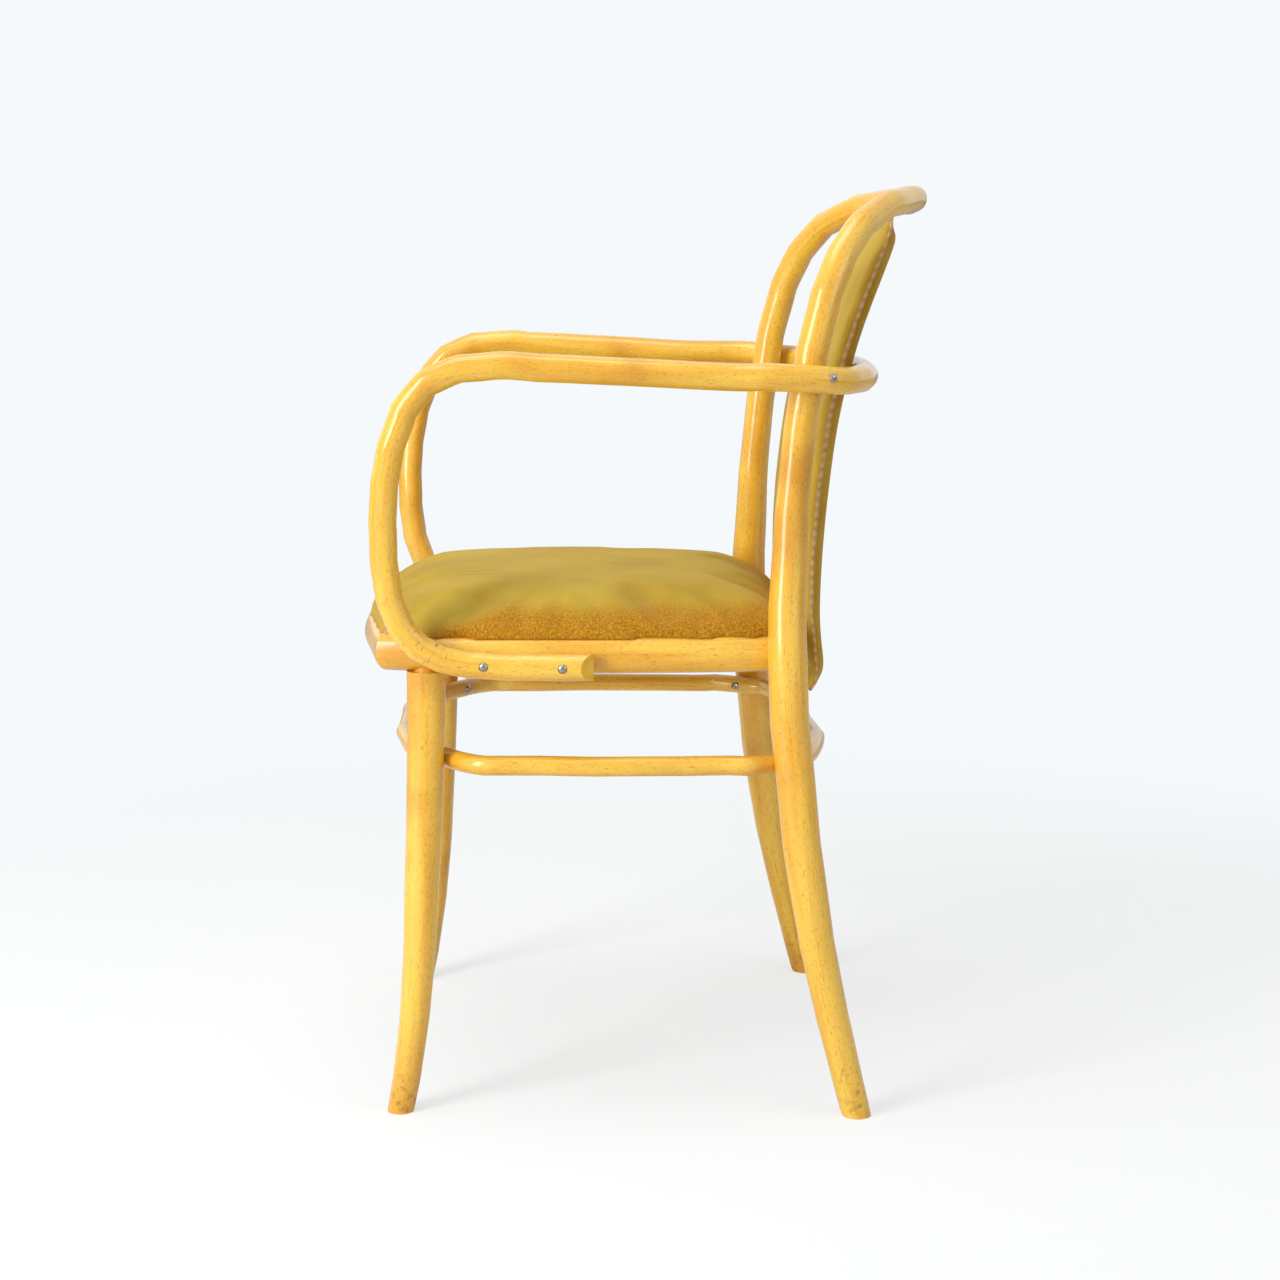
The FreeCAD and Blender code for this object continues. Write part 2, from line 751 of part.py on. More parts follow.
def make_seat_ring():
    """The bent ring that carries the seat, with a rounded outer face."""
    sections = []
    for up, drawn in RING_FACE_SHARES:
        sections.append(wire_of(ring_outline(drawn * size("ring_round"),
                                             ring_bottom + up * size("ring_height"))))
    block = Part.makeLoft(sections, True, True)
    opening = outline_prism(size("ring_width"), ring_bottom - size("overrun"),
                            size("ring_height") + size("overrun") * 2)
    body = feature("seat_ring_bent", block.cut(opening))
    tools = []
    for side in (1, -1):
        top = Vec(side * front_leg_x, -size("front_leg_reach"), ring_bottom)
        tools.append(drill(top, Vec(0, 0, 1), size("tenon_radius") + size("hole_gap"),
                           size("tenon_length") + size("seat_gap")))
    tools += shank_holes(arm_screws, "arm_screw_length")
    tools += shank_holes(leg_bolts, "bolt_length", "bolt_shank_radius")
    tools += head_holes(washer_seats, "washer_radius")
    tools += shank_holes(panel_screws, "panel_screw_length")
    tools += head_holes(panel_screws)
    tools += shank_holes(seat_screws, "seat_screw_length")
    tools += [drill(p, out * -1, size("screw_head_radius") + size("hole_gap"),
                    size("screw_head_rise")) for p, out in seat_screws]
    return cut("seat_ring", body, tools)


def make_arm_bow():
    """Both arms and the rail behind the back, one rod, flattened where it lies on the ring."""
    points = arm_points()
    rod = tapered_rod(biarcs(mirrored(points)), lambda height: size("arm_radius"))
    flat = outline_prism(-size("seat_gap"), ring_bottom - size("overrun"),
                         size("ring_height") + size("overrun") * 2)
    tools = [flat]
    tools += arm_bevels(points[0])
    tools += head_holes(arm_screws) + shank_holes(arm_screws, "arm_screw_length")
    tools += head_holes(leg_screws) + shank_holes(leg_screws, "leg_screw_length")
    tools += head_holes(back_screws) + shank_holes(back_screws, "panel_screw_length")
    return cut("arm_bow", feature("arm_bow_rod", rod), tools)


def arm_bevels(end):
    """Slanted cuts that take the outer corner off each arm end."""
    reach = size("arm_radius") * 4
    cutters = []
    for side in (1, -1):
        block = Part.makeBox(reach, reach, reach, Vec(0, -reach / 2, -reach / 2))
        out = Vec(side, 1, 0).normalize()
        at = Vec(side * (end.x + size("arm_radius")), end.y - size("arm_end_bevel"), end.z)
        block.Placement = FreeCAD.Placement(at, FreeCAD.Rotation(Vec(1, 0, 0), out))
        cutters.append(block)
    return cutters


def make_stretcher():
    """The lower ring, screwed to the inside of the four legs."""
    rod = closed_rod(stretcher_half(), size("stretcher_radius"))
    tools = head_holes(stretcher_screws)
    tools += shank_holes(stretcher_screws, "stretcher_screw_length")
    return cut("stretcher_ring", feature("stretcher_ring_rod", rod), tools)


# Upholstery


def crowned_block(drawn_in, bottom, top):
    """A cushion form: the seat's outline drawn in towards a crowned top."""
    sections = []
    for up, drawn in SEAT_CROWN_SHARES:
        scale = (1 - drawn) * (1 - drawn_in / size("seat_half_width"))
        height = bottom + up * (top - bottom)
        sections.append(wire_of(ring_outline(size("seat_inset"), height, scale)))
    return Part.makeLoft(sections, True, True)


def make_seat():
    """Board, padding, cover and the cloth under the seat."""
    gap = size("seat_gap")
    bottom = size("seat_height") + gap
    skin = size("cover_thick")
    top = bottom + size("seat_crown")
    board = ring_pad("seat_board_ply", (size("seat_inset") + skin * 2 + gap,), bottom,
                     "board_thick")
    cut("seat_board", board, shank_holes(seat_screws, "seat_screw_length"))
    padding = crowned_block(skin * 2 + gap, bottom, top - skin - gap)
    clear = outline_prism(-size("overrun"), bottom - size("overrun"),
                          size("overrun") + size("board_thick") + gap)
    feature("seat_padding", padding.cut(clear))
    outer = crowned_block(0, bottom, top)
    hollow = crowned_block(skin, bottom, top - skin)
    feature("seat_cover", outer.cut(hollow))
    ring_pad("under_seat_cloth", (size("ring_width") + gap * 2,),
             size("seat_height") - size("cloth_thick"), "cloth_thick")


def panel_form(near_share, far_share, near_in, far_in, ends_in):
    """A slab of the back panel, from its hollow front towards its bulged rear face.

    It lies between two shares of the panel's thickness, drawn in there and at its edges.
    """
    sections = []
    for up, back, thick, wide in PANEL_SHARES:
        height = (size("panel_bottom_height") + ends_in
                  + up * (size("panel_rise") - ends_in * 2))
        rear = size("rear_leg_reach") + back * size("back_rake")
        depth = thick * size("panel_thick")
        edge_rear = rear - thick * size("panel_bulge")
        edge_depth = depth - thick * (size("panel_bulge") - size("panel_hollow"))
        near = rear - depth * (1 - near_share) + near_in
        far = rear - depth * (1 - far_share) - far_in
        edge_near = edge_rear - edge_depth * (1 - near_share) + near_in
        edge_far = edge_rear - edge_depth * (1 - far_share) - far_in
        half = wide * size("panel_half_width") - ends_in
        side = half + (edge_far - edge_near) * PANEL_EDGE_SHARE
        middle = (edge_far + edge_near) / 2
        sections.append(wire_of([
            Part.Arc(Vec(-half, edge_near, height), Vec(0, near, height),
                     Vec(half, edge_near, height)),
            Part.Arc(Vec(half, edge_near, height), Vec(side, middle, height),
                     Vec(half, edge_far, height)),
            Part.Arc(Vec(half, edge_far, height), Vec(0, far, height),
                     Vec(-half, edge_far, height)),
            Part.Arc(Vec(-half, edge_far, height), Vec(-side, middle, height),
                     Vec(-half, edge_near, height)),
        ]))
    return Part.makeLoft(sections, True, True)


def make_back():
    """The curved board of the back, its two pads and its cover."""
    skin, gap = size("cover_thick"), size("seat_gap")
    inside = skin + gap
    near, far = PANEL_BOARD_SHARES
    holes = (shank_holes(back_screws, "panel_screw_length")
             + shank_holes(panel_screws, "panel_screw_length"))

    hollow = panel_form(0, 1, skin, skin, skin)
    feature("back_cover", panel_form(0, 1, 0, 0, 0).cut([hollow] + holes))
    feature("back_padding_front", panel_form(0, near, inside, gap, inside).cut(holes))
    feature("back_board", panel_form(near, far, 0, 0, inside).cut(holes))
    feature("back_padding_rear", panel_form(far, 1, gap, inside, inside).cut(holes))


def make_fastenings():
    """Screws, bolts and washers in their places."""
    fastening_group("arm_end_screws", screw_body("arm_screw", "arm_screw_length"), arm_screws)
    fastening_group("arm_leg_screws", screw_body("leg_screw", "leg_screw_length"), leg_screws)
    fastening_group("arm_back_screws", screw_body("back_screw", "panel_screw_length"),
                    back_screws)
    fastening_group("stretcher_screws", screw_body("stretcher_screw",
                                                   "stretcher_screw_length"),
                    stretcher_screws)
    fastening_group("panel_screws", screw_body("panel_screw", "panel_screw_length"),
                    panel_screws)
    sunk = [(p - out * size("screw_head_rise"), out) for p, out in seat_screws]
    fastening_group("seat_screws", screw_body("seat_screw", "seat_screw_length"), sunk)
    head, height = size("bolt_head_radius"), size("bolt_head_height")
    shank, length = size("bolt_shank_radius"), size("bolt_length")
    bolt = turned("leg_bolt", [(0, height), (head, height), (head, 0), (shank, 0),
                               (shank, shank - length), (0, -length)])
    fastening_group("leg_bolts", bolt, leg_bolts)
    hole = shank + size("hole_gap")
    rim, thick = size("washer_radius"), size("washer_thick")
    washer = turned("leg_washer", [(hole, -thick), (rim, -thick), (rim, 0), (hole, 0)])
    fastening_group("leg_bolt_washers", washer, leg_bolts)


NODES = [
    "back_bow", "front_leg_left", "front_leg_right", "seat_ring", "arm_bow", "stretcher_ring",
    "seat_board", "seat_padding", "seat_cover", "under_seat_cloth",
    "back_board", "back_padding_front", "back_padding_rear", "back_cover",
    "arm_end_screws", "arm_leg_screws", "arm_back_screws", "stretcher_screws",
    "panel_screws", "seat_screws", "leg_bolts", "leg_bolt_washers",
]


def main():
    """Builds every piece, checks it and writes it."""
    make_fastenings()
    make_seat()
    make_back_bow()
    make_front_leg("front_leg_left", 1)
    make_front_leg("front_leg_right", -1)
    make_seat_ring()
    make_arm_bow()
    make_stretcher()
    make_back()
    doc.recompute()
    for item in doc.Objects:
        if {"Invalid", "Error"} & set(item.State):
            raise RuntimeError(f"{item.Label} failed: {item.State}")
    os.makedirs("parts", exist_ok=True)
    found = {item.Label: item for item in doc.Objects if hasattr(item, "Shape")}
    for label in NODES:
        shape = found[label].Shape
        if shape.isNull() or not shape.isValid():
            raise RuntimeError(f"{label} has no valid shape")
    whole = Part.makeCompound([found[label].Shape for label in NODES])
    for label in NODES:
        shape = found[label].Shape
        print(f"{label}: {len(shape.Solids)} solids, {shape.Volume / 1000:.1f} cm3")
        shape.exportStep(os.path.join("parts", label + ".step"))
    print("box", whole.BoundBox)


main()
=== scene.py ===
"""Looks of a bentwood armchair: rods of steam-bent beech under clear lacquer, and mustard plush pads."""

import json
import logging
import math
from dataclasses import dataclass, field
from enum import Enum

import bmesh
import bpy
import numpy as np
from mathutils import Matrix, Vector

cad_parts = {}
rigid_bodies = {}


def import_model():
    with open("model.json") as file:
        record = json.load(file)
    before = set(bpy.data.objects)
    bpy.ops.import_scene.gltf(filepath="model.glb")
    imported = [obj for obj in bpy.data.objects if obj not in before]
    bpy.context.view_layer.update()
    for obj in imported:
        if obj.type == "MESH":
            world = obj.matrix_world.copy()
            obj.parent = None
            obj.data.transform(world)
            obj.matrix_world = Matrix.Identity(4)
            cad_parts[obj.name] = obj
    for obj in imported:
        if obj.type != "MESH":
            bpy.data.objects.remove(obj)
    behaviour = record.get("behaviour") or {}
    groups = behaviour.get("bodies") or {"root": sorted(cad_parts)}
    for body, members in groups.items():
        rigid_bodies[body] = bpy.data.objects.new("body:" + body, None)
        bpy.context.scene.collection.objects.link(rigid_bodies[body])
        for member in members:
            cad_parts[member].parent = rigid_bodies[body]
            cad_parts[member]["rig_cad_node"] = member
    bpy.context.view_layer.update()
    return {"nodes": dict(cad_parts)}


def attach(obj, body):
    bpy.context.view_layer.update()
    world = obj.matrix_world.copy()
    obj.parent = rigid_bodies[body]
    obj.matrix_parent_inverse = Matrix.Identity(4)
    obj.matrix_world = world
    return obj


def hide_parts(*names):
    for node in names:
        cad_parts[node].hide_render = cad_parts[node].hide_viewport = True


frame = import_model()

log = logging.getLogger("armchair")

MM = 0.001
ROOT = "root"
Point = tuple[float, float, float]

# A wave texture turns through this many radians for each unit of its scale.
WAVE_RADIANS = 20


# Materials


def linear(code: str) -> tuple[float, float, float, float]:
    """Turns an sRGB hex colour into the linear RGBA that shaders take.

    Args:
        code: the colour as RRGGBB with a leading hash.

    Returns:
        The linear red, green, blue and an alpha of one.
    """
    channels = [int(code[i:i + 2], 16) / 255 for i in (1, 3, 5)]
    red, green, blue = (c / 12.92 if c <= 0.04045 else ((c + 0.055) / 1.055) ** 2.4 for c in channels)
    return red, green, blue, 1.0


def add(tree: bpy.types.NodeTree, kind: str, values: dict | None = None,
        links: dict | None = None, **settings: object) -> bpy.types.Node:
    """Adds one node to a tree.

    Args:
        tree: the node tree.
        kind: the node's type name.
        values: socket name or number to the value set on it.
        links: socket name or number to the output that feeds it.
        settings: the node's own properties.

    Returns:
        The new node.
    """
    made = tree.nodes.new(kind)
    for name, value in settings.items():
        setattr(made, name, value)
    for socket, value in (values or {}).items():
        made.inputs[socket].default_value = value
    for socket, source in (links or {}).items():
        tree.links.new(source, made.inputs[socket])
    return made


def per_metre(*sizes_mm: float) -> tuple[float, ...]:
    """Pattern frequencies that give features of these sizes, in millimetres."""
    return tuple(1 / (size * MM) for size in sizes_mm)


class Finish:
    """A material made of nodes, built once and shared by the pieces that wear it."""

    name: str

    def material(self) -> bpy.types.Material:
        """Returns the material, made on its first use."""
        found = bpy.data.materials.get(self.name)
        if found is None:
            found = bpy.data.materials.new(self.name)
            found.use_nodes = True
            found.node_tree.nodes.clear()
            shader = self.shade(found.node_tree)
            add(found.node_tree, "ShaderNodeOutputMaterial", links={"Surface": shader.outputs[0]})
        return found

    def shade(self, tree: bpy.types.NodeTree) -> bpy.types.Node:
        """Builds the surface shader in the tree and returns its last node."""
        raise NotImplementedError

    def dress(self, piece: bpy.types.Object) -> None:
        """Puts the material on every slot of a piece."""
        if piece.get("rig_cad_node") is None:
            piece.data.materials.clear()
        if not piece.data.materials:
            piece.data.materials.append(self.material())
        for slot in piece.material_slots:
            slot.link = "OBJECT"
            slot.material = self.material()


@dataclass(frozen=True)
class LacqueredBeech(Finish):
    """Beech, steam-bent, sanded and clear lacquered.

    It looks honey yellow under a glossy film, with long faint streaks along the bend, short dark
    flecks of the rays, and dark brown spots that thicken towards the floor. The grain attribute is
    the place along the rod and across it.
    """

    name: str = "beech_steam_bent_clear_lacquer"
    honey: str = "#E7AB2E"
    pale: str = "#F3C548"
    amber: str = "#C47E18"
    fleck: str = "#74460C"
    low_dark: str = "#6E4A1C"
    streak_mm: tuple[float, float] = (160.0, 2.2)
    fleck_mm: tuple[float, float] = (4.6, 0.5)
    broad_share: float = 7.0
    broad_shift: tuple[float, float, float] = (3.1, 1.7, 5.2)
    clouds_a_metre: float = 11.0
    dent_mm: float = 26.0
    mark_mm: float = 9.0
    low_dark_reach_mm: float = 95.0
    split_mm: tuple[float, float] = (2.4, 14.0)
    gloss: tuple[float, float] = (0.24, 0.42)

    def shade(self, tree: bpy.types.NodeTree) -> bpy.types.Node:
        """Builds the lacquered wood."""
        grain = add(tree, "ShaderNodeAttribute", attribute_name="grain").outputs["Vector"]
        place = add(tree, "ShaderNodeTexCoord").outputs["Object"]
        streak_along, streak_across = per_metre(*self.streak_mm)
        fleck_along, fleck_across = per_metre(*self.fleck_mm)
        split_along, split_across = per_metre(*self.split_mm)
        broad_across = streak_across / self.broad_share

        long_lines = add(tree, "ShaderNodeMapping", {"Scale": (streak_along, streak_across, streak_across)},
                         {"Vector": grain}).outputs[0]
        streaks = add(tree, "ShaderNodeTexNoise", {"Scale": 1.0, "Detail": 4.0, "Roughness": 0.6},
                      {"Vector": long_lines}).outputs[0]
        broad_lines = add(tree, "ShaderNodeMapping",
                          {"Scale": (streak_along, broad_across, broad_across),
                           "Location": self.broad_shift}, {"Vector": grain}).outputs[0]
        broad = add(tree, "ShaderNodeTexNoise", {"Scale": 1.0, "Detail": 2.0},
                    {"Vector": broad_lines}).outputs[0]
        dashes = add(tree, "ShaderNodeMapping", {"Scale": (fleck_along, fleck_across, fleck_across)},
                     {"Vector": grain}).outputs[0]
        rays = add(tree, "ShaderNodeTexNoise", {"Scale": 1.0, "Detail": 1.0, "Roughness": 0.45},
                   {"Vector": dashes}).outputs[0]
        clouds = add(tree, "ShaderNodeTexNoise", {"Scale": self.clouds_a_metre, "Detail": 2.0},
                     {"Vector": place}).outputs[0]

        tone = add(tree, "ShaderNodeMapRange",
                   {"From Min": 0.32, "From Max": 0.68}, {"Value": broad}, interpolation_type="SMOOTHSTEP")
        colour = add(tree, "ShaderNodeMix", {"A": linear(self.honey), "B": linear(self.pale)},
                     {"Factor": tone.outputs[0]}, data_type="RGBA").outputs["Result"]
        warm = add(tree, "ShaderNodeMapRange", {"From Min": 0.50, "From Max": 0.74, "To Max": 0.55},
                   {"Value": clouds}, interpolation_type="SMOOTHSTEP")
        colour = add(tree, "ShaderNodeMix", {"B": linear(self.amber)},
                     {"Factor": warm.outputs[0], "A": colour}, data_type="RGBA").outputs["Result"]
        line = add(tree, "ShaderNodeMapRange", {"From Min": 0.54, "From Max": 0.72, "To Max": 0.42},
                   {"Value": streaks}, interpolation_type="SMOOTHSTEP")
        colour = add(tree, "ShaderNodeMix", {"B": linear(self.amber)},
                     {"Factor": line.outputs[0], "A": colour}, data_type="RGBA").outputs["Result"]
        dash = add(tree, "ShaderNodeMapRange", {"From Min": 0.61, "From Max": 0.72, "To Max": 0.6},
                   {"Value": rays}, interpolation_type="SMOOTHSTEP")
        colour = add(tree, "ShaderNodeMix", {"B": linear(self.fleck)},
                     {"Factor": dash.outputs[0], "A": colour}, data_type="RGBA").outputs["Result"]

        # Dark brown spots in noise, growing denser towards the floor over the lowest part of the rods.
        height = add(tree, "ShaderNodeSeparateXYZ", links={"Vector": place}).outputs["Z"]
        low = add(tree, "ShaderNodeMapRange", {"From Min": self.low_dark_reach_mm * MM, "From Max": 0.0},
                  {"Value": height}, interpolation_type="SMOOTHERSTEP")
        marks = add(tree, "ShaderNodeTexNoise",
                    {"Scale": per_metre(self.mark_mm)[0], "Detail": 3.0, "Roughness": 0.65},
                    {"Vector": place}).outputs[0]
        spots = add(tree, "ShaderNodeMapRange", {"From Min": 0.54, "From Max": 0.74, "To Max": 0.7},
                    {"Value": marks})
        low_dark_spots = add(tree, "ShaderNodeMath", links={0: low.outputs[0], 1: spots.outputs[0]},
                     operation="MULTIPLY").outputs[0]
        colour = add(tree, "ShaderNodeMix", {"B": linear(self.low_dark)},
                     {"Factor": low_dark_spots, "A": colour}, data_type="RGBA").outputs["Result"]

        strain = add(tree, "ShaderNodeAttribute", attribute_name="strain").outputs["Fac"]
        across = add(tree, "ShaderNodeMapping", {"Scale": (split_along, split_across, split_across)},
                     {"Vector": grain}).outputs[0]
        splits = add(tree, "ShaderNodeTexNoise", {"Scale": 1.0, "Detail": 2.0}, {"Vector": across}).outputs[0]
        split = add(tree, "ShaderNodeMapRange", {"From Min": 0.60, "From Max": 0.68}, {"Value": splits})
        split = add(tree, "ShaderNodeMath", links={0: strain, 1: split.outputs[0]},
                    operation="MULTIPLY").outputs[0]
        colour = add(tree, "ShaderNodeMix", {"B": linear(self.fleck)},
                     {"Factor": split, "A": colour}, data_type="RGBA").outputs["Result"]

        waves = add(tree, "ShaderNodeTexNoise", {"Scale": per_metre(self.dent_mm)[0], "Detail": 1.5},
                    {"Vector": place}).outputs[0]
        relief = add(tree, "ShaderNodeBump", {"Strength": 0.12, "Distance": 1.2 * MM}, {"Height": waves})
        relief = add(tree, "ShaderNodeBump", {"Strength": 0.10, "Distance": 0.3 * MM},
                     {"Height": dash.outputs[0], "Normal": relief.outputs[0]}, invert=True)
        relief = add(tree, "ShaderNodeBump", {"Strength": 0.5, "Distance": 0.5 * MM},
                     {"Height": split, "Normal": relief.outputs[0]}, invert=True)
        gloss = add(tree, "ShaderNodeMapRange", {"To Min": self.gloss[0], "To Max": self.gloss[1]},
                    {"Value": clouds})
        return add(tree, "ShaderNodeBsdfPrincipled",
                   {"IOR": 1.5, "Specular IOR Level": 0.35, "Coat Weight": 0.7, "Coat Roughness": 0.12,
                    "Coat IOR": 1.5},
                   {"Base Color": colour, "Roughness": gloss.outputs[0], "Normal": relief.outputs[0]})


@dataclass(frozen=True)
class MustardPlush(Finish):
    """Short cut-pile plush, woven and dyed mustard.

    The top, lit from above and seen at a grazing angle, is painted lit with its sheen as an even olive
    yellow. The sides and the back of the panel are painted in shade as a speckled orange gold. The
    attribute that the colour follows is 0 on the lit top and 1 on the shaded sides.
    """

    name: str = "plush_short_pile_mustard"
    # Painted light: the lit top with its sheen, in two tones at random, and the sides in shade.
    sheen_lit_top: str = "#BBA03C"
    sheen_lit_top_dim: str = "#A48628"
    shaded_side: str = "#AC760C"
    # Painted highlight on the tufts of the pile, and painted shade in the gaps between them.
    tuft_highlight: str = "#E0AA3C"
    root: str = "#74490A"
    tuft_mm: tuple[float, float, float] = (1.5, 1.5, 2.2)
    weave_mm: tuple[float, float, float] = (3.4, 1.3, 1.3)
    clouds_a_metre: float = 9.0

    def shade(self, tree: bpy.types.NodeTree) -> bpy.types.Node:
        """Builds the pile."""
        place = add(tree, "ShaderNodeTexCoord").outputs["Object"]
        # Share of painted shade: 0 on the lit top with its painted sheen, 1 on the shaded sides.
        painted_side_shade = add(tree, "ShaderNodeAttribute", attribute_name="painted_side_shade").outputs["Fac"]
        tufts = add(tree, "ShaderNodeMapping", {"Scale": per_metre(*self.tuft_mm)}, {"Vector": place})
        pile = add(tree, "ShaderNodeTexNoise", {"Scale": 1.0, "Detail": 3.0, "Roughness": 0.7},
                   {"Vector": tufts.outputs[0]}).outputs[0]
        ribs = add(tree, "ShaderNodeMapping", {"Scale": per_metre(*self.weave_mm)}, {"Vector": place})
        weave = add(tree, "ShaderNodeTexNoise", {"Scale": 1.0, "Detail": 2.0},
                    {"Vector": ribs.outputs[0]}).outputs[0]
        clouds = add(tree, "ShaderNodeTexNoise", {"Scale": self.clouds_a_metre, "Detail": 3.0},
                     {"Vector": place}).outputs[0]

        even = add(tree, "ShaderNodeMapRange", {"From Min": 0.36, "From Max": 0.68}, {"Value": clouds})
        top = add(tree, "ShaderNodeMix", {"A": linear(self.sheen_lit_top), "B": linear(self.sheen_lit_top_dim)},
                  {"Factor": even.outputs[0]}, data_type="RGBA").outputs["Result"]
        fine = add(tree, "ShaderNodeMapRange", {"From Min": 0.42, "From Max": 0.78, "To Max": 0.30},
                   {"Value": weave})
        top = add(tree, "ShaderNodeMix", {"B": linear(self.shaded_side)},
                  {"Factor": fine.outputs[0], "A": top}, data_type="RGBA").outputs["Result"]
        # Painted highlight where the pile noise is high, and painted shade between the tufts where it is low.
        lit = add(tree, "ShaderNodeMapRange", {"From Min": 0.50, "From Max": 0.66, "To Max": 0.75},
                  {"Value": pile})
        side = add(tree, "ShaderNodeMix", {"A": linear(self.shaded_side), "B": linear(self.tuft_highlight)},
                   {"Factor": lit.outputs[0]}, data_type="RGBA").outputs["Result"]
        tuft_gap_shade = add(tree, "ShaderNodeMapRange", {"From Min": 0.47, "From Max": 0.34, "To Max": 0.7},
                   {"Value": pile})
        side = add(tree, "ShaderNodeMix", {"B": linear(self.root)},
                   {"Factor": tuft_gap_shade.outputs[0], "A": side}, data_type="RGBA").outputs["Result"]
        colour = add(tree, "ShaderNodeMix", links={"Factor": painted_side_shade, "A": top, "B": side},
                     data_type="RGBA").outputs["Result"]

        # The pile's bump is deeper where the sides are painted in shade.
        shaded_side_bump = add(tree, "ShaderNodeMapRange", {"To Min": 0.25, "To Max": 1.0}, {"Value": painted_side_shade}).outputs[0]
        height = add(tree, "ShaderNodeMath", links={0: pile, 1: shaded_side_bump}, operation="MULTIPLY").outputs[0]
        relief = add(tree, "ShaderNodeBump", {"Strength": 0.55, "Distance": 1.4 * MM}, {"Height": height})
        return add(tree, "ShaderNodeBsdfPrincipled",
                   {"Roughness": 0.88, "IOR": 1.45, "Specular IOR Level": 0.2, "Sheen Weight": 0.34,
                    "Sheen Roughness": 0.42, "Sheen Tint": linear("#F2DC96")},
                   {"Base Color": colour, "Normal": relief.outputs[0]})


@dataclass(frozen=True)
class TurnedSteel(Finish):
    """Steel, turned and polished or zinc plated: grey metal with fine turning marks and dull spots."""

    name: str
    tone: str
    roughness: float
    tarnished: str = "#6E675A"
    wear_mm: float = 1.6
    roughness_shares: tuple[float, float] = (0.6, 1.5)

    def shade(self, tree: bpy.types.NodeTree) -> bpy.types.Node:
        """Builds the metal."""
        place = add(tree, "ShaderNodeTexCoord").outputs["Object"]
        spots = add(tree, "ShaderNodeTexNoise", {"Scale": per_metre(self.wear_mm)[0], "Detail": 3.0},
                    {"Vector": place}).outputs[0]
        least, most = (self.roughness * share for share in self.roughness_shares)
        rough = add(tree, "ShaderNodeMapRange", {"To Min": least, "To Max": most}, {"Value": spots})
        tarnish = add(tree, "ShaderNodeMapRange", {"From Min": 0.52, "From Max": 0.75, "To Max": 0.5},
                      {"Value": spots})
        colour = add(tree, "ShaderNodeMix", {"A": linear(self.tone), "B": linear(self.tarnished)},
                     {"Factor": tarnish.outputs[0]}, data_type="RGBA").outputs["Result"]
        relief = add(tree, "ShaderNodeBump", {"Strength": 0.15, "Distance": 0.1 * MM}, {"Height": spots})
        return add(tree, "ShaderNodeBsdfPrincipled", {"Metallic": 1.0},
                   {"Base Color": colour, "Roughness": rough.outputs[0], "Normal": relief.outputs[0]})


@dataclass(frozen=True)
class BirchPly(Finish):
    """Birch plywood, pressed and sanded: pale faces with a loose figure and thin dark glue lines."""

    name: str = "plywood_birch_sanded"
    face: str = "#CDA873"
    glue: str = "#8A6238"
    figure_mm: tuple[float, float, float] = (4.0, 120.0, 4.0)
    ply_radian_mm: float = 1.4

    def shade(self, tree: bpy.types.NodeTree) -> bpy.types.Node:
        """Builds the plywood."""
        place = add(tree, "ShaderNodeTexCoord").outputs["Object"]
        long_lines = add(tree, "ShaderNodeMapping", {"Scale": per_metre(*self.figure_mm)}, {"Vector": place})
        figure = add(tree, "ShaderNodeTexNoise", {"Scale": 1.0, "Detail": 3.0},
                     {"Vector": long_lines.outputs[0]}).outputs[0]
        scale = per_metre(self.ply_radian_mm)[0] / WAVE_RADIANS
        plies = add(tree, "ShaderNodeTexWave", {"Scale": scale, "Distortion": 0.3},
                    {"Vector": place}, bands_direction="Z").outputs["Fac"]
        both = add(tree, "ShaderNodeMath", links={0: figure, 1: plies}, operation="MULTIPLY").outputs[0]
        colour = add(tree, "ShaderNodeMix", {"A": linear(self.face), "B": linear(self.glue)},
                     {"Factor": both}, data_type="RGBA").outputs["Result"]
        return add(tree, "ShaderNodeBsdfPrincipled", {"Roughness": 0.7, "IOR": 1.5}, {"Base Color": colour})


@dataclass(frozen=True)
class LiningCloth(Finish):
    """Black cotton lining, plain woven: matt, with a fine square mesh of threads.

    The real threads are about 0.5 mm apart, drawn here about 13 mm apart so that the weave shows.
    """

    name: str = "cotton_lining_black_woven"
    thread: str = "#2A2926"
    gap: str = "#0E0E0D"
    thread_radian_mm: float = 2.0

    def shade(self, tree: bpy.types.NodeTree) -> bpy.types.Node:
        """Builds the weave."""
        place = add(tree, "ShaderNodeTexCoord").outputs["Object"]
        scale = per_metre(self.thread_radian_mm)[0] / WAVE_RADIANS
        warp, weft = (add(tree, "ShaderNodeTexWave", {"Scale": scale}, {"Vector": place},
                          bands_direction=axis).outputs["Fac"] for axis in ("X", "Y"))
        mesh = add(tree, "ShaderNodeMath", links={0: warp, 1: weft}, operation="MAXIMUM").outputs[0]
        colour = add(tree, "ShaderNodeMix", {"A": linear(self.gap), "B": linear(self.thread)},
                     {"Factor": mesh}, data_type="RGBA").outputs["Result"]
        relief = add(tree, "ShaderNodeBump", {"Strength": 0.4, "Distance": 0.3 * MM}, {"Height": mesh})
        return add(tree, "ShaderNodeBsdfPrincipled", {"Roughness": 0.95},
                   {"Base Color": colour, "Normal": relief.outputs[0]})


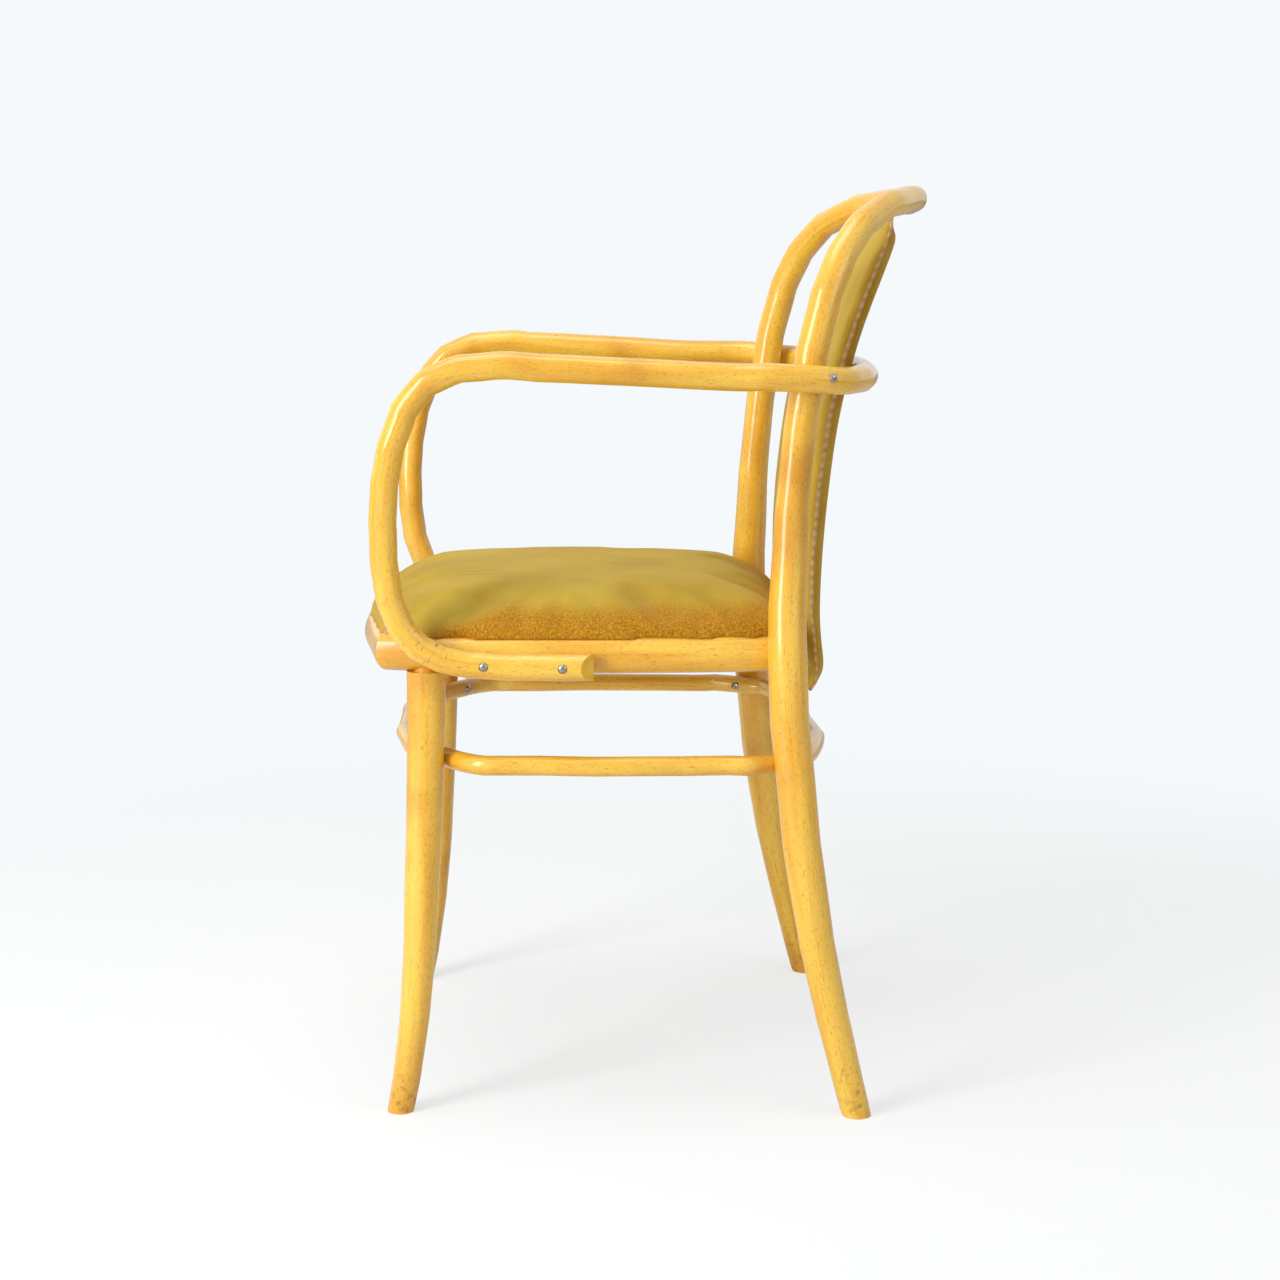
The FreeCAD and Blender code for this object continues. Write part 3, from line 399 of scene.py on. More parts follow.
@dataclass(frozen=True)
class StudioFloor(Finish):
    """Painted white floor: it reads as white to the camera, keeps the object's soft shadow, and runs
    out into the white surroundings a little way from the object."""

    name: str = "studio_floor_matt_white"
    surroundings: str = "#F5F9FB"
    glow: str = "#F8FBFB"
    seen: tuple[float, float, float, float] = (0.34, 0.34, 0.34 * 1.01, 1.0)
    lift: float = 0.66
    bounced: tuple[float, float, float, float] = (0.8, 0.8, 0.8, 1.0)
    fade_from: float = 0.75
    fade_to: float = 1.60

    def shade(self, tree: bpy.types.NodeTree) -> bpy.types.Node:
        """Builds the floor."""
        ray = add(tree, "ShaderNodeLightPath").outputs["Is Camera Ray"]
        matt = add(tree, "ShaderNodeBsdfDiffuse", {"Color": self.seen})
        glow = add(tree, "ShaderNodeEmission", {"Color": linear(self.glow), "Strength": self.lift})
        shown = add(tree, "ShaderNodeAddShader", links={0: matt.outputs[0], 1: glow.outputs[0]})
        place = add(tree, "ShaderNodeTexCoord").outputs["Object"]
        away = add(tree, "ShaderNodeVectorMath", links={0: place}, operation="LENGTH").outputs["Value"]
        fade = add(tree, "ShaderNodeMapRange", {"From Min": self.fade_from, "From Max": self.fade_to},
                   {"Value": away}, interpolation_type="SMOOTHSTEP").outputs[0]
        far = add(tree, "ShaderNodeEmission", {"Color": linear(self.surroundings), "Strength": 1.0})
        shown = add(tree, "ShaderNodeMixShader", links={0: fade, 1: shown.outputs[0], 2: far.outputs[0]})
        bounce = add(tree, "ShaderNodeBsdfDiffuse", {"Color": self.bounced})
        return add(tree, "ShaderNodeMixShader", links={0: ray, 1: bounce.outputs[0], 2: shown.outputs[0]})


BEECH = LacqueredBeech()
PLUSH = MustardPlush()
POLISHED = TurnedSteel("steel_turned_polished", "#A6A299", 0.2)
ZINC = TurnedSteel("steel_turned_zinc_plated", "#A9AAA6", 0.38)
PLY = BirchPly()
LINING = LiningCloth()


# Meshes and lines


def put_in_scene(name: str, mesh: bpy.types.Mesh) -> bpy.types.Object:
    """Makes an object of a mesh and links it to the scene."""
    piece = bpy.data.objects.new(name, mesh)
    bpy.context.scene.collection.objects.link(piece)
    return piece


def grid_faces(rows: int, columns: int, wrap_rows: bool, wrap_columns: bool) -> np.ndarray:
    """Quads over a grid of points, row by row.

    Each quad joins a point with the next in its row and the same two of the next row. A wrapped
    direction joins its last points to its first.
    """
    i = np.arange(rows if wrap_rows else rows - 1)[:, None]
    j = np.arange(columns if wrap_columns else columns - 1)[None, :]
    i_next, j_next = (i + 1) % rows, (j + 1) % columns
    corners = [i * columns + j, i * columns + j_next, i_next * columns + j_next, i_next * columns + j]
    return np.stack([np.broadcast_to(c, (len(i), j.shape[1])).ravel() for c in corners], axis=1)


def closed_surface(name: str, grid: np.ndarray) -> bpy.types.Mesh:
    """Makes a closed mesh of rings of points, with a pole at the first ring and one at the last.

    Args:
        name: the mesh's name.
        grid: rings by points by 3, in metres, from the lower pole's ring to the upper one's.

    Returns:
        The mesh, smooth and with its faces outwards.
    """
    rows, columns = grid.shape[:2]
    points = np.concatenate([grid.reshape(-1, 3), grid[0].mean(0)[None], grid[-1].mean(0)[None]])
    faces = grid_faces(rows, columns, False, True).tolist()
    j = np.arange(columns)
    j_next = (j + 1) % columns
    last = (rows - 1) * columns
    faces += np.stack([np.full(columns, rows * columns), j_next, j], axis=1).tolist()
    faces += np.stack([np.full(columns, rows * columns + 1), last + j, last + j_next], axis=1).tolist()
    mesh = bpy.data.meshes.new(name)
    mesh.from_pydata(points.tolist(), [], faces)
    outward(mesh)
    return mesh


def outward(mesh: bpy.types.Mesh) -> None:
    """Turns every face outwards and shades them smooth."""
    work = bmesh.new()
    work.from_mesh(mesh)
    bmesh.ops.recalc_face_normals(work, faces=work.faces)
    work.to_mesh(mesh)
    work.free()
    mesh.shade_smooth()


def corners_of(mesh: bpy.types.Mesh) -> np.ndarray:
    """The mesh's vertices as an array of points."""
    found = np.empty(len(mesh.vertices) * 3)
    mesh.vertices.foreach_get("co", found)
    return found.reshape(-1, 3)


def normals_of(mesh: bpy.types.Mesh) -> np.ndarray:
    """The mesh's vertex normals as an array."""
    found = np.empty(len(mesh.vertices) * 3)
    mesh.vertex_normals.foreach_get("vector", found)
    return found.reshape(-1, 3)


def write_points(mesh: bpy.types.Mesh, points: np.ndarray) -> None:
    """Moves the mesh's vertices to these points."""
    mesh.vertices.foreach_set("co", points.astype(np.float32).ravel())
    mesh.update()


def write_number(mesh: bpy.types.Mesh, name: str, values: np.ndarray) -> None:
    """Stores one number for each vertex as an attribute that materials read."""
    layer = mesh.attributes.new(name, "FLOAT", "POINT")
    layer.data.foreach_set("value", values.astype(np.float32))


def smooth_step(low: float, high: float, values: np.ndarray) -> np.ndarray:
    """Rises from 0 at low to 1 at high, level at both ends."""
    t = np.clip((values - low) / (high - low), 0, 1)
    return t * t * (3 - 2 * t)


def smooth_line(points: np.ndarray, closed: bool, per_run: int) -> np.ndarray:
    """A line through every point: between two of them, the cubic whose slope at each is half the way
    from the point before it to the point after it.

    Args:
        points: the points to pass, one row each, of any width.
        closed: whether the last point joins the first.
        per_run: how many samples each run between two points gets.

    Returns:
        The samples, one row each.
    """
    if closed:
        p = np.vstack([points[-1], points, points[:2]])
    else:
        p = np.vstack([2 * points[0] - points[1], points, 2 * points[-1] - points[-2]])
    t = np.linspace(0, 1, per_run, endpoint=False)[None, :, None]
    a, b, c, d = (p[k:len(p) - 3 + k][:, None, :] for k in range(4))
    runs = 0.5 * (2 * b + (c - a) * t + (2 * a - 5 * b + 4 * c - d) * t ** 2
                  + (3 * b - a - 3 * c + d) * t ** 3)
    line = runs.reshape(-1, points.shape[1])
    return line if closed else np.vstack([line, points[-1]])


def even_line(line: np.ndarray, count: int) -> np.ndarray:
    """The same closed line with its samples spaced evenly along it."""
    loop = np.vstack([line, line[:1]])
    reach = np.concatenate([[0], np.cumsum(np.linalg.norm(np.diff(loop, axis=0), axis=1))])
    spots = np.linspace(0, reach[-1], count, endpoint=False)
    return np.stack([np.interp(spots, reach, loop[:, k]) for k in range(loop.shape[1])], axis=1)


def mirrored(half: np.ndarray) -> np.ndarray:
    """Joins half a line, whose last point is at X 0, with its mirror image across X 0."""
    other = half[::-1][1:] * np.array([-1, 1, 1])
    return np.vstack([half, other])


# Wood


class Course(Enum):
    """How the points of a rod's centre line go on."""

    AS_DRAWN = "as drawn"
    MIRRORED = "mirrored"
    RING = "ring"


@dataclass
class BentRod:
    """A rod of steam-bent beech: the solid's own shape, with grain that follows the bend."""

    node: str
    centre_line: tuple[Point, ...]
    course: Course = Course.AS_DRAWN
    side: int = 1
    crease_angle: float = 42.0
    strained_at: Point | None = None
    strain_reach_mm: float = 34.0
    strained_share: float = 0.35
    merge_mm: float = 0.01
    per_run: int = 24
    first_across: Point = (0.3, 0.2, 0.93)
    corners_at_once: int = 2000

    def line(self) -> np.ndarray:
        """The centre line's samples in metres."""
        points = np.array(self.centre_line, float) * MM * np.array([self.side, 1, 1])
        if self.course is not Course.AS_DRAWN:
            points = mirrored(points)
        closed = self.course is Course.RING
        return smooth_line(points[:-1] if closed else points, closed, self.per_run)

    def build(self) -> bpy.types.Object:
        """Copies the solid, merges the copy, lays the grain and dresses it."""
        source = frame["nodes"][self.node]
        mesh = source.data.copy()
        work = bmesh.new()
        work.from_mesh(mesh)
        bmesh.ops.remove_doubles(work, verts=work.verts, dist=self.merge_mm * MM)
        work.to_mesh(mesh)
        work.free()
        mesh.materials.clear()
        if mesh.attributes.get("custom_normal"):
            mesh.attributes.remove(mesh.attributes["custom_normal"])
        mesh.shade_smooth()
        mesh.set_sharp_from_angle(angle=math.radians(self.crease_angle))
        self.lay_grain(mesh)
        self.mark_strain(mesh)
        piece = put_in_scene(self.node + "_wood", mesh)
        BEECH.dress(piece)
        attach(piece, ROOT)
        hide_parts(self.node)
        return piece

    def lay_grain(self, mesh: bpy.types.Mesh) -> None:
        """Stores each face corner's place in the straightened rod.

        The place is how far along the centre line its nearest sample lies, and the offset from there
        along two directions that are carried along the line without twisting. A ring's corners are
        numbered on from their face's first corner, so that no face spans the join.
        """
        line = self.line()
        closed = self.course is Course.RING
        ahead = np.roll(line, -1, axis=0) - line if closed else np.gradient(line, axis=0)
        tangent = ahead / np.linalg.norm(ahead, axis=1)[:, None]
        steps = np.linalg.norm(np.diff(line, axis=0), axis=1)
        reach = np.concatenate([[0], np.cumsum(steps)])
        across = np.empty_like(line)
        start = np.cross(tangent[0], self.first_across)
        for k, way in enumerate(tangent):
            start = start - way * start.dot(way)
            start = start / np.linalg.norm(start)
            across[k] = start
        beside = np.cross(tangent, across)

        points = corners_of(mesh)
        nearest = np.concatenate([
            ((part[:, None, :] - line[None]) ** 2).sum(2).argmin(1)
            for part in np.array_split(points, max(1, len(points) // self.corners_at_once))])
        offset = points - line[nearest]
        place = np.stack([
            reach[nearest] + (offset * tangent[nearest]).sum(1),
            (offset * across[nearest]).sum(1),
            (offset * beside[nearest]).sum(1)], axis=1)

        loop_vertex = np.empty(len(mesh.loops), np.int32)
        mesh.loops.foreach_get("vertex_index", loop_vertex)
        found = place[loop_vertex]
        if closed:
            total = reach[-1] + np.linalg.norm(line[-1] - line[0])
            starts = np.empty(len(mesh.polygons), np.int32)
            counts = np.empty(len(mesh.polygons), np.int32)
            mesh.polygons.foreach_get("loop_start", starts)
            mesh.polygons.foreach_get("loop_total", counts)
            first = np.repeat(found[starts, 0], counts)
            found[:, 0] -= np.round((found[:, 0] - first) / total) * total
        layer = mesh.attributes.new("grain", "FLOAT_VECTOR", "CORNER")
        layer.data.foreach_set("vector", found.astype(np.float32).ravel())

    def mark_strain(self, mesh: bpy.types.Mesh) -> None:
        """Stores how far the wood was crushed by the bend: 1 at the strained place, fading around it."""
        if self.strained_at is None:
            return
        points = corners_of(mesh)
        points[:, 0] = np.abs(points[:, 0])
        away = np.linalg.norm(points - np.array(self.strained_at) * MM, axis=1)
        faded = smooth_step(self.strained_share, 1.0, away / (self.strain_reach_mm * MM))
        write_number(mesh, "strain", 1 - faded)


@dataclass
class WoodFrame:
    """The six bent rods: hoop with the rear legs, front legs, seat ring, arm bow and lower ring."""

    bow_line: tuple[Point, ...] = (
        (225.8, 188.5, 0.0), (226.0, 173.0, 60.2), (226.3, 158.4, 120.3), (226.3, 142.8, 200.0),
        (221.8, 129.5, 300.0), (210.3, 121.0, 415.0), (202.1, 122.0, 500.0), (198.9, 126.4, 580.0),
        (197.6, 134.4, 650.0), (193.9, 145.8, 710.0), (183.8, 159.0, 750.2), (166.5, 174.5, 777.3),
        (132.0, 200.0, 801.0), (80.0, 230.5, 812.7), (0.0, 249.0, 814.0))
    front_leg_line: tuple[Point, ...] = (
        (206.4, -222.0, 0.0), (205.7, -212.4, 60.0), (203.8, -206.3, 120.0), (198.4, -202.4, 200.0),
        (190.4, -199.0, 300.0), (185.4, -197.5, 399.0))
    ring_line: tuple[Point, ...] = (
        (0.0, 127.0, 415.0), (80.0, 127.0, 415.0), (139.0, 124.0, 415.0), (172.0, 117.0, 415.0),
        (185.0, 80.0, 415.0), (189.0, 40.0, 415.0), (193.0, -36.0, 415.0), (193.0, -116.0, 415.0),
        (191.0, -155.0, 415.0), (184.0, -200.0, 415.0), (170.0, -226.0, 415.0), (118.0, -236.0, 415.0),
        (60.0, -243.0, 415.0), (0.0, -244.0, 415.0))
    arm_line: tuple[Point, ...] = (
        (219.5, -50.0, 408.0), (220.0, -100.0, 408.0), (220.1, -145.0, 409.6), (221.5, -172.0, 413.0),
        (223.5, -193.0, 421.0), (225.5, -210.0, 435.0), (227.8, -222.0, 456.0), (229.6, -229.0, 485.0),
        (230.9, -231.5, 520.0), (233.4, -231.0, 552.0), (236.6, -227.0, 584.0), (239.7, -218.0, 617.0),
        (241.3, -203.0, 645.0), (242.0, -180.0, 662.0), (241.5, -148.0, 669.5), (240.4, -97.0, 669.0),
        (237.0, -46.0, 667.0), (233.0, 5.0, 664.5), (228.7, 57.0, 662.0), (223.5, 134.7, 660.3),
        (214.6, 156.7, 658.3), (190.0, 177.3, 657.7), (150.0, 190.5, 657.7), (97.0, 197.6, 657.7),
        (0.0, 200.5, 657.7))
    stretcher_line: tuple[Point, ...] = (
        (0.0, 157.0, 317.6), (158.0, 146.0, 317.6), (198.8, 112.1, 317.6), (208.7, 56.0, 317.6),
        (211.0, 0.0, 317.6), (207.8, -95.5, 317.6), (174.8, -177.4, 317.6), (109.7, -214.2, 317.6),
        (0.0, -222.0, 317.6))
    arm_strained_at: Point = (221.0, -196.0, 434.0)

    def rods(self) -> list[BentRod]:
        """The rods, in the order in which the chair is put together."""
        return [
            BentRod("back_bow", self.bow_line, Course.MIRRORED),
            BentRod("front_leg_left", self.front_leg_line),
            BentRod("front_leg_right", self.front_leg_line, side=-1),
            BentRod("seat_ring", self.ring_line, Course.RING),
            BentRod("arm_bow", self.arm_line, Course.MIRRORED, strained_at=self.arm_strained_at),
            BentRod("stretcher_ring", self.stretcher_line, Course.RING),
        ]

    def build(self) -> list[bpy.types.Object]:
        """Builds and dresses every rod."""
        return [rod.build() for rod in self.rods()]


# Padding


@dataclass
class Inflation:
    """A short cloth simulation that fills a closed form with air, as foam fills its cover."""

    voxel_mm: float = 5.0
    pressure: float = 4.0
    frames: int = 20
    most_mm: float = 6.0
    held_below: float | None = None
    spare_cloth: float = 0.015
    quality: int = 6
    smoothing: int = 6

    def run(self, piece: bpy.types.Object) -> None:
        """Remeshes the piece, fills it, and keeps each point within its longest way.

        Args:
            piece: the closed form, which is changed in place.
        """
        scene = bpy.context.scene
        self.apply(piece, piece.modifiers.new("even_mesh", "REMESH"), voxel_size=self.voxel_mm * MM,
                   mode="VOXEL")
        start = corners_of(piece.data)
        cloth = piece.modifiers.new("filling", "CLOTH")
        cloth.settings.use_pressure = True
        cloth.settings.uniform_pressure_force = self.pressure
        cloth.settings.effector_weights.gravity = 0
        cloth.settings.quality = self.quality
        cloth.settings.shrink_min = -self.spare_cloth
        cloth.point_cache.frame_start = 1
        cloth.point_cache.frame_end = self.frames
        if self.held_below is not None:
            held = piece.vertex_groups.new(name="held")
            low = np.nonzero(start[:, 2] < self.held_below)[0].tolist()
            held.add(low, 1.0, "REPLACE")
            cloth.settings.vertex_group_mass = held.name
        for number in range(1, self.frames + 1):
            scene.frame_set(number)
        filled = piece.evaluated_get(bpy.context.evaluated_depsgraph_get())
        end = corners_of(filled.data)
        piece.modifiers.remove(cloth)
        scene.frame_set(1)
        way = end - start
        length = np.linalg.norm(way, axis=1)[:, None]
        limit = self.most_mm * MM
        write_points(piece.data, start + way * np.minimum(1, limit / np.maximum(length, 1e-9)))
        piece.vertex_groups.clear()
        self.apply(piece, piece.modifiers.new("eased", "SMOOTH"), factor=0.5, iterations=self.smoothing)
        self.apply(piece, piece.modifiers.new("finer", "SUBSURF"), levels=1, render_levels=1)
        piece.data.shade_smooth()

    @staticmethod
    def apply(piece: bpy.types.Object, modifier: bpy.types.Modifier, **settings: object) -> None:
        """Sets up a modifier and makes its result the piece's mesh."""
        for name, value in settings.items():
            setattr(modifier, name, value)
        shown = piece.evaluated_get(bpy.context.evaluated_depsgraph_get())
        made = bpy.data.meshes.new_from_object(shown)
        piece.modifiers.remove(modifier)
        piece.data = made


@dataclass
class SeatCushion:
    """The crowned seat pad in its plush cover, tucked down on the ring."""

    outline: tuple[tuple[float, float], ...] = (
        (0.0, -254.0), (36.9, -254.0), (73.7, -251.9), (110.3, -246.8), (146.9, -241.7),
        (168.0, -238.0), (180.5, -230.5), (187.8, -218.5), (193.8, -200.9), (199.3, -183.2),
        (201.3, -164.9), (202.8, -146.5), (203.2, -128.0), (203.0, -91.1), (203.0, -54.2),
        (202.4, -17.2), (200.0, 19.6), (197.4, 56.5), (195.8, 74.8), (192.6, 93.0), (188.6, 111.2),
        (180.0, 125.5), (165.4, 131.8), (147.1, 134.0), (110.3, 135.8), (73.3, 137.3),
        (36.4, 137.1), (0.0, 137.1))
    centre: tuple[float, float] = (0.0, -54.0)
    bottom: float = 430.0
    crown: float = 38.1
    belly_share: float = 0.16
    shoulder_power: float = 4.6
    crown_round_share: float = 0.7
    crown_half: tuple[float, float] = (196.0, 191.0)
    tuck: float = -2.0
    drawn_in: float = -1.0
    rows: int = 44
    columns: int = 360
    per_run: int = 16
    under_rows: int = 9
    side_rows: int = 6
    hub_share: float = 0.06
    creases: tuple[tuple[float, float, float], ...] = (
        (84.0, -172.0, 0.9), (62.0, -176.0, 1.0), (44.0, -166.0, 0.6), (103.0, -160.0, 0.45))
    crease_width: float = 2.6
    crease_reach: float = 36.0
    crease_bow: float = 0.0035
    crease_shares: tuple[float, float] = (0.5, 0.75)
    # The line below which the cushion's side is painted in shade, and above which the top is painted lit.
    shade_line_height: float = 453.5
    shade_line_soft: float = 8.0
    shade_line_fall: float = 26.0
    shade_line_fall_reach: tuple[float, float] = (-232.0, -120.0)
    shade_line_rise: float = 5.0
    shade_line_rise_reach: tuple[float, float] = (20.0, 120.0)
    filling: Inflation = field(default_factory=lambda: Inflation(
        held_below=441.0 * MM, most_mm=5.0, smoothing=4))

    def surface(self) -> np.ndarray:
        """Points of the closed pad, ring by ring from the middle of the underside to the crown.

        A ring is the outline drawn towards the centre by a factor. On the underside the factor grows
        from 0 to 1. Above, with a turning angle from 0 at the belly to a quarter turn at the crown,
        the factor is the angle's cosine to the power of two over the shoulder power, and the height
        is the angle's sine, so the side stands and the shoulder rolls over. The outline itself turns
        towards an ellipse with the square of that sine, as foam rounds off its corners.
        """
        half = np.array(self.outline)
        loop = np.vstack([half, half[::-1][1:-1] * np.array([-1, 1])])
        line = even_line(smooth_line(loop, True, self.per_run), self.columns)
        radius = np.linalg.norm(line - np.array(self.centre), axis=1).mean()
        line = np.array(self.centre) + (line - np.array(self.centre)) * (1 - self.drawn_in / radius)
        under = np.linspace(self.hub_share, 1, self.under_rows)[:-1]
        belly = self.belly_share * self.crown
        side = np.linspace(0, 1, self.side_rows)[:-1]
        angle = np.linspace(0, math.pi / 2, self.rows)[:-1]
        factor = np.concatenate([
            under * (1 - self.tuck / radius), 1 - self.tuck / radius * (1 - side) ** 2,
            np.cos(angle) ** (2 / self.shoulder_power)])
        height = np.concatenate([
            np.zeros(len(under)), side * belly, belly + (self.crown - belly) * np.sin(angle)])
        rounder = np.concatenate([
            np.zeros(len(under) + len(side)), self.crown_round_share * np.sin(angle) ** 2])
        spokes = line - np.array(self.centre)
        bearing = np.arctan2(spokes[:, 1], spokes[:, 0])
        oval = np.stack([np.cos(bearing), np.sin(bearing)], axis=1) * (
            1 / np.hypot(np.cos(bearing) / self.crown_half[0], np.sin(bearing) / self.crown_half[1]))[:, None]
        blend = rounder[:, None, None]
        grid = np.empty((len(factor), self.columns, 3))
        grid[:, :, :2] = (np.array(self.centre)
                          + (spokes[None] * (1 - blend) + oval[None] * blend) * factor[:, None, None])
        grid[:, :, 2] = self.bottom + height[:, None]
        return grid * MM

    def press_creases(self, mesh: bpy.types.Mesh) -> None:
        """Presses the worn creases into the top.

        Each is a groove with a bell-shaped section along a shallow bow that runs front to back, and
        fades towards its ends.
        """
        points = corners_of(mesh)
        depth = np.zeros(len(points))
        for x, y, share in self.creases:
            along = points[:, 1] / MM - y
            across = points[:, 0] / MM - x - self.crease_bow * along ** 2
            depth += share * np.exp(-(across / self.crease_width) ** 2 - (along / self.crease_reach) ** 4)
        from_height, to_height = (self.bottom + self.crown * share for share in self.crease_shares)
        on_top = smooth_step(from_height, to_height, points[:, 2] / MM)
        points[:, 2] -= depth * on_top * MM
        write_points(mesh, points)

    def side_shade_share(self, points: np.ndarray) -> np.ndarray:
        """Share of painted shade: 1 on the sides up to a line, and 0 above it, where the top is painted lit
        with its sheen.

        The line falls to the seat's base at the front, which is painted lit because it faces the light. It
        rises towards the back, and wanders with two slow waves around the seat.

        Args:
            points: places on the cushion in millimetres.

        Returns:
            The share at each place.
        """
        x, y, z = points.T
        waves = 1.5 * np.sin(y / 19 + x / 140) + 1.0 * np.sin(y / 7.3)
        # Below this line the side is painted in shade; above it the top is painted lit with its sheen.
        edge = (self.shade_line_height - self.shade_line_fall * (1 - smooth_step(*self.shade_line_fall_reach, y))
                + self.shade_line_rise * smooth_step(*self.shade_line_rise_reach, y) + waves)
        return 1 - smooth_step(-self.shade_line_soft, self.shade_line_soft, z - edge)

    def build(self) -> bpy.types.Object:
        """Builds, fills and dresses the cushion."""
        piece = put_in_scene("seat_cushion_plush", closed_surface("seat_cushion_plush", self.surface()))
        self.filling.run(piece)
        self.press_creases(piece.data)
        # Painted light and shade: the lit top against the shaded sides.
        write_number(piece.data, "painted_side_shade", self.side_shade_share(corners_of(piece.data) / MM))
        PLUSH.dress(piece)
        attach(piece, ROOT)
        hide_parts("seat_cover", "seat_padding")
        return piece


@dataclass
class SeatLining:
    """The black cloth stretched under the seat frame."""

    outline: tuple[tuple[float, float], ...] = (
        (0.0, -227.0), (77.0, -224.0), (116.0, -218.8), (150.0, -215.0), (164.0, -205.0), (173.0, -177.6),
        (176.2, -138.8), (176.2, -60.9), (173.3, 16.9), (170.4, 55.8), (165.0, 88.0), (155.0, 105.0),
        (116.0, 108.5), (60.0, 110.3), (0.0, 110.3))
    centre: tuple[float, float] = (0.0, -58.5)
    height: float = 430.4
    sag: float = 3.0
    thick: float = 0.5
    rows: int = 14
    columns: int = 120
    per_run: int = 10
    hub_share: float = 0.04

    def build(self) -> bpy.types.Object:
        """Builds the sheet: rings of the outline drawn in to the middle, sagging as the square of
        how far in they lie."""
        half = np.array(self.outline)
        loop = np.vstack([half, half[::-1][1:-1] * np.array([-1, 1])])
        line = even_line(smooth_line(loop, True, self.per_run), self.columns)
        factor = np.linspace(1, self.hub_share, self.rows)[:, None, None]
        middle = np.array(self.centre)
        sheets = []
        for lift in (0.0, self.thick):
            grid = np.empty((self.rows, self.columns, 3))
            grid[:, :, :2] = middle + (line - middle)[None] * factor
            grid[:, :, 2] = self.height - self.sag * (1 - factor[:, :, 0] ** 2) ** 2 + lift
            sheets.append(grid)
        both = np.concatenate([sheets[0][::-1], sheets[1]]) * MM
        piece = put_in_scene("seat_lining_cloth", closed_surface("seat_lining_cloth", both))
        LINING.dress(piece)
        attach(piece, ROOT)
        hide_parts("under_seat_cloth")
        return piece


@dataclass
class BackPanel:
    """The upholstered back inside the hoop, flat in front and bulged behind."""

    bottom: float = 372.0
    rise: float = 428.0
    base_reach: float = 121.0
    rake: float = 128.0
    half_width: float = 165.0
    thick: float = 25.0
    bulge: float = 13.0
    edge_share: float = 0.3
    drawn_in: float = 1.2
    shares: tuple[tuple[float, float, float, float], ...] = (
        (0.0, 0.305, 0.60, 0.900), (0.02, 0.345, 0.65, 0.935), (0.054, 0.362, 0.76, 0.955),
        (0.103, 0.336, 0.70, 0.965), (0.171, 0.330, 0.85, 0.975), (0.299, 0.348, 0.96, 0.990),
        (0.439, 0.387, 1.00, 1.000), (0.584, 0.450, 1.00, 1.000), (0.72, 0.555, 1.00, 0.988),
        (0.813, 0.660, 1.00, 0.950), (0.883, 0.754, 0.96, 0.875), (0.935, 0.828, 0.88, 0.760),
        (0.972, 0.883, 0.76, 0.590), (1.0, 0.914, 0.62, 0.340))
    per_run: int = 9
    face_columns: int = 70
    edge_columns: int = 14
    # Share of the shaded side colour painted on the rear face, by how far its normal faces backwards.
    rear_shade_most: float = 0.5
    rear_shade_normals: tuple[float, float] = (0.05, 0.75)
    filling: Inflation = field(default_factory=lambda: Inflation(voxel_mm=4.0, most_mm=3.0, pressure=3.0))

    def surface(self) -> np.ndarray:
        """Points of the closed panel, section by section upwards.

        A section runs along the flat front, round one edge on half an ellipse, back along the rear
        face, whose bulge falls off with the square of the way out, and round the other edge.
        """
        up, back, thick, wide = smooth_line(np.array(self.shares), False, self.per_run).T
        height = (self.bottom + self.drawn_in + up * (self.rise - 2 * self.drawn_in))[:, None]
        rear = (self.base_reach + back * self.rake - self.drawn_in)[:, None]
        thick = thick[:, None]
        half = (wide * self.half_width - self.drawn_in)[:, None]
        front = rear - thick * self.thick + 2 * self.drawn_in
        edge_rear = rear - thick * self.bulge
        middle, depth = (front + edge_rear) / 2, edge_rear - front
        out = np.linspace(-1, 1, self.face_columns)[None, :]
        turn = np.linspace(-math.pi / 2, math.pi / 2, self.edge_columns)[None, 1:-1]
        x = np.concatenate([
            half * out, half + depth * self.edge_share * np.cos(turn),
            -half * out, -half - depth * self.edge_share * np.cos(turn)], axis=1)
        y = np.concatenate([
            front + 0 * out, middle + depth / 2 * np.sin(turn),
            rear - (rear - edge_rear) * out ** 2, middle - depth / 2 * np.sin(turn)], axis=1)
        return np.stack([x, y, np.broadcast_to(height, x.shape)], axis=2) * MM

    def build(self) -> bpy.types.Object:
        """Builds, fills and dresses the panel."""
        piece = put_in_scene("back_panel_plush", closed_surface("back_panel_plush", self.surface()))
        self.filling.run(piece)
        # The rear face gets the painted shade of the sides; the front and edges keep the lit colour with its
        # sheen.
        backwards = normals_of(piece.data)[:, 1]
        write_number(piece.data, "painted_side_shade", self.rear_shade_most * smooth_step(*self.rear_shade_normals, backwards))
        PLUSH.dress(piece)
        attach(piece, ROOT)
        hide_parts("back_cover", "back_padding_front", "back_padding_rear")
        return piece


# Hardware and boards


@dataclass
class Hardware:
    """The fastenings and the two boards, whose solids are shown as they are."""

    finishes: tuple[tuple[str, Finish], ...] = (
        ("arm_end_screws", POLISHED), ("arm_leg_screws", POLISHED), ("arm_back_screws", POLISHED),
        ("stretcher_screws", POLISHED), ("panel_screws", POLISHED), ("seat_screws", ZINC),
        ("leg_bolts", ZINC), ("leg_bolt_washers", ZINC), ("seat_board", PLY), ("back_board", PLY))

    def build(self) -> list[bpy.types.Object]:
        """Dresses each solid."""
        pieces = []
        for name, finish in self.finishes:
            piece = frame["nodes"][name]
            finish.dress(piece)
            pieces.append(piece)
        return pieces


# The studio


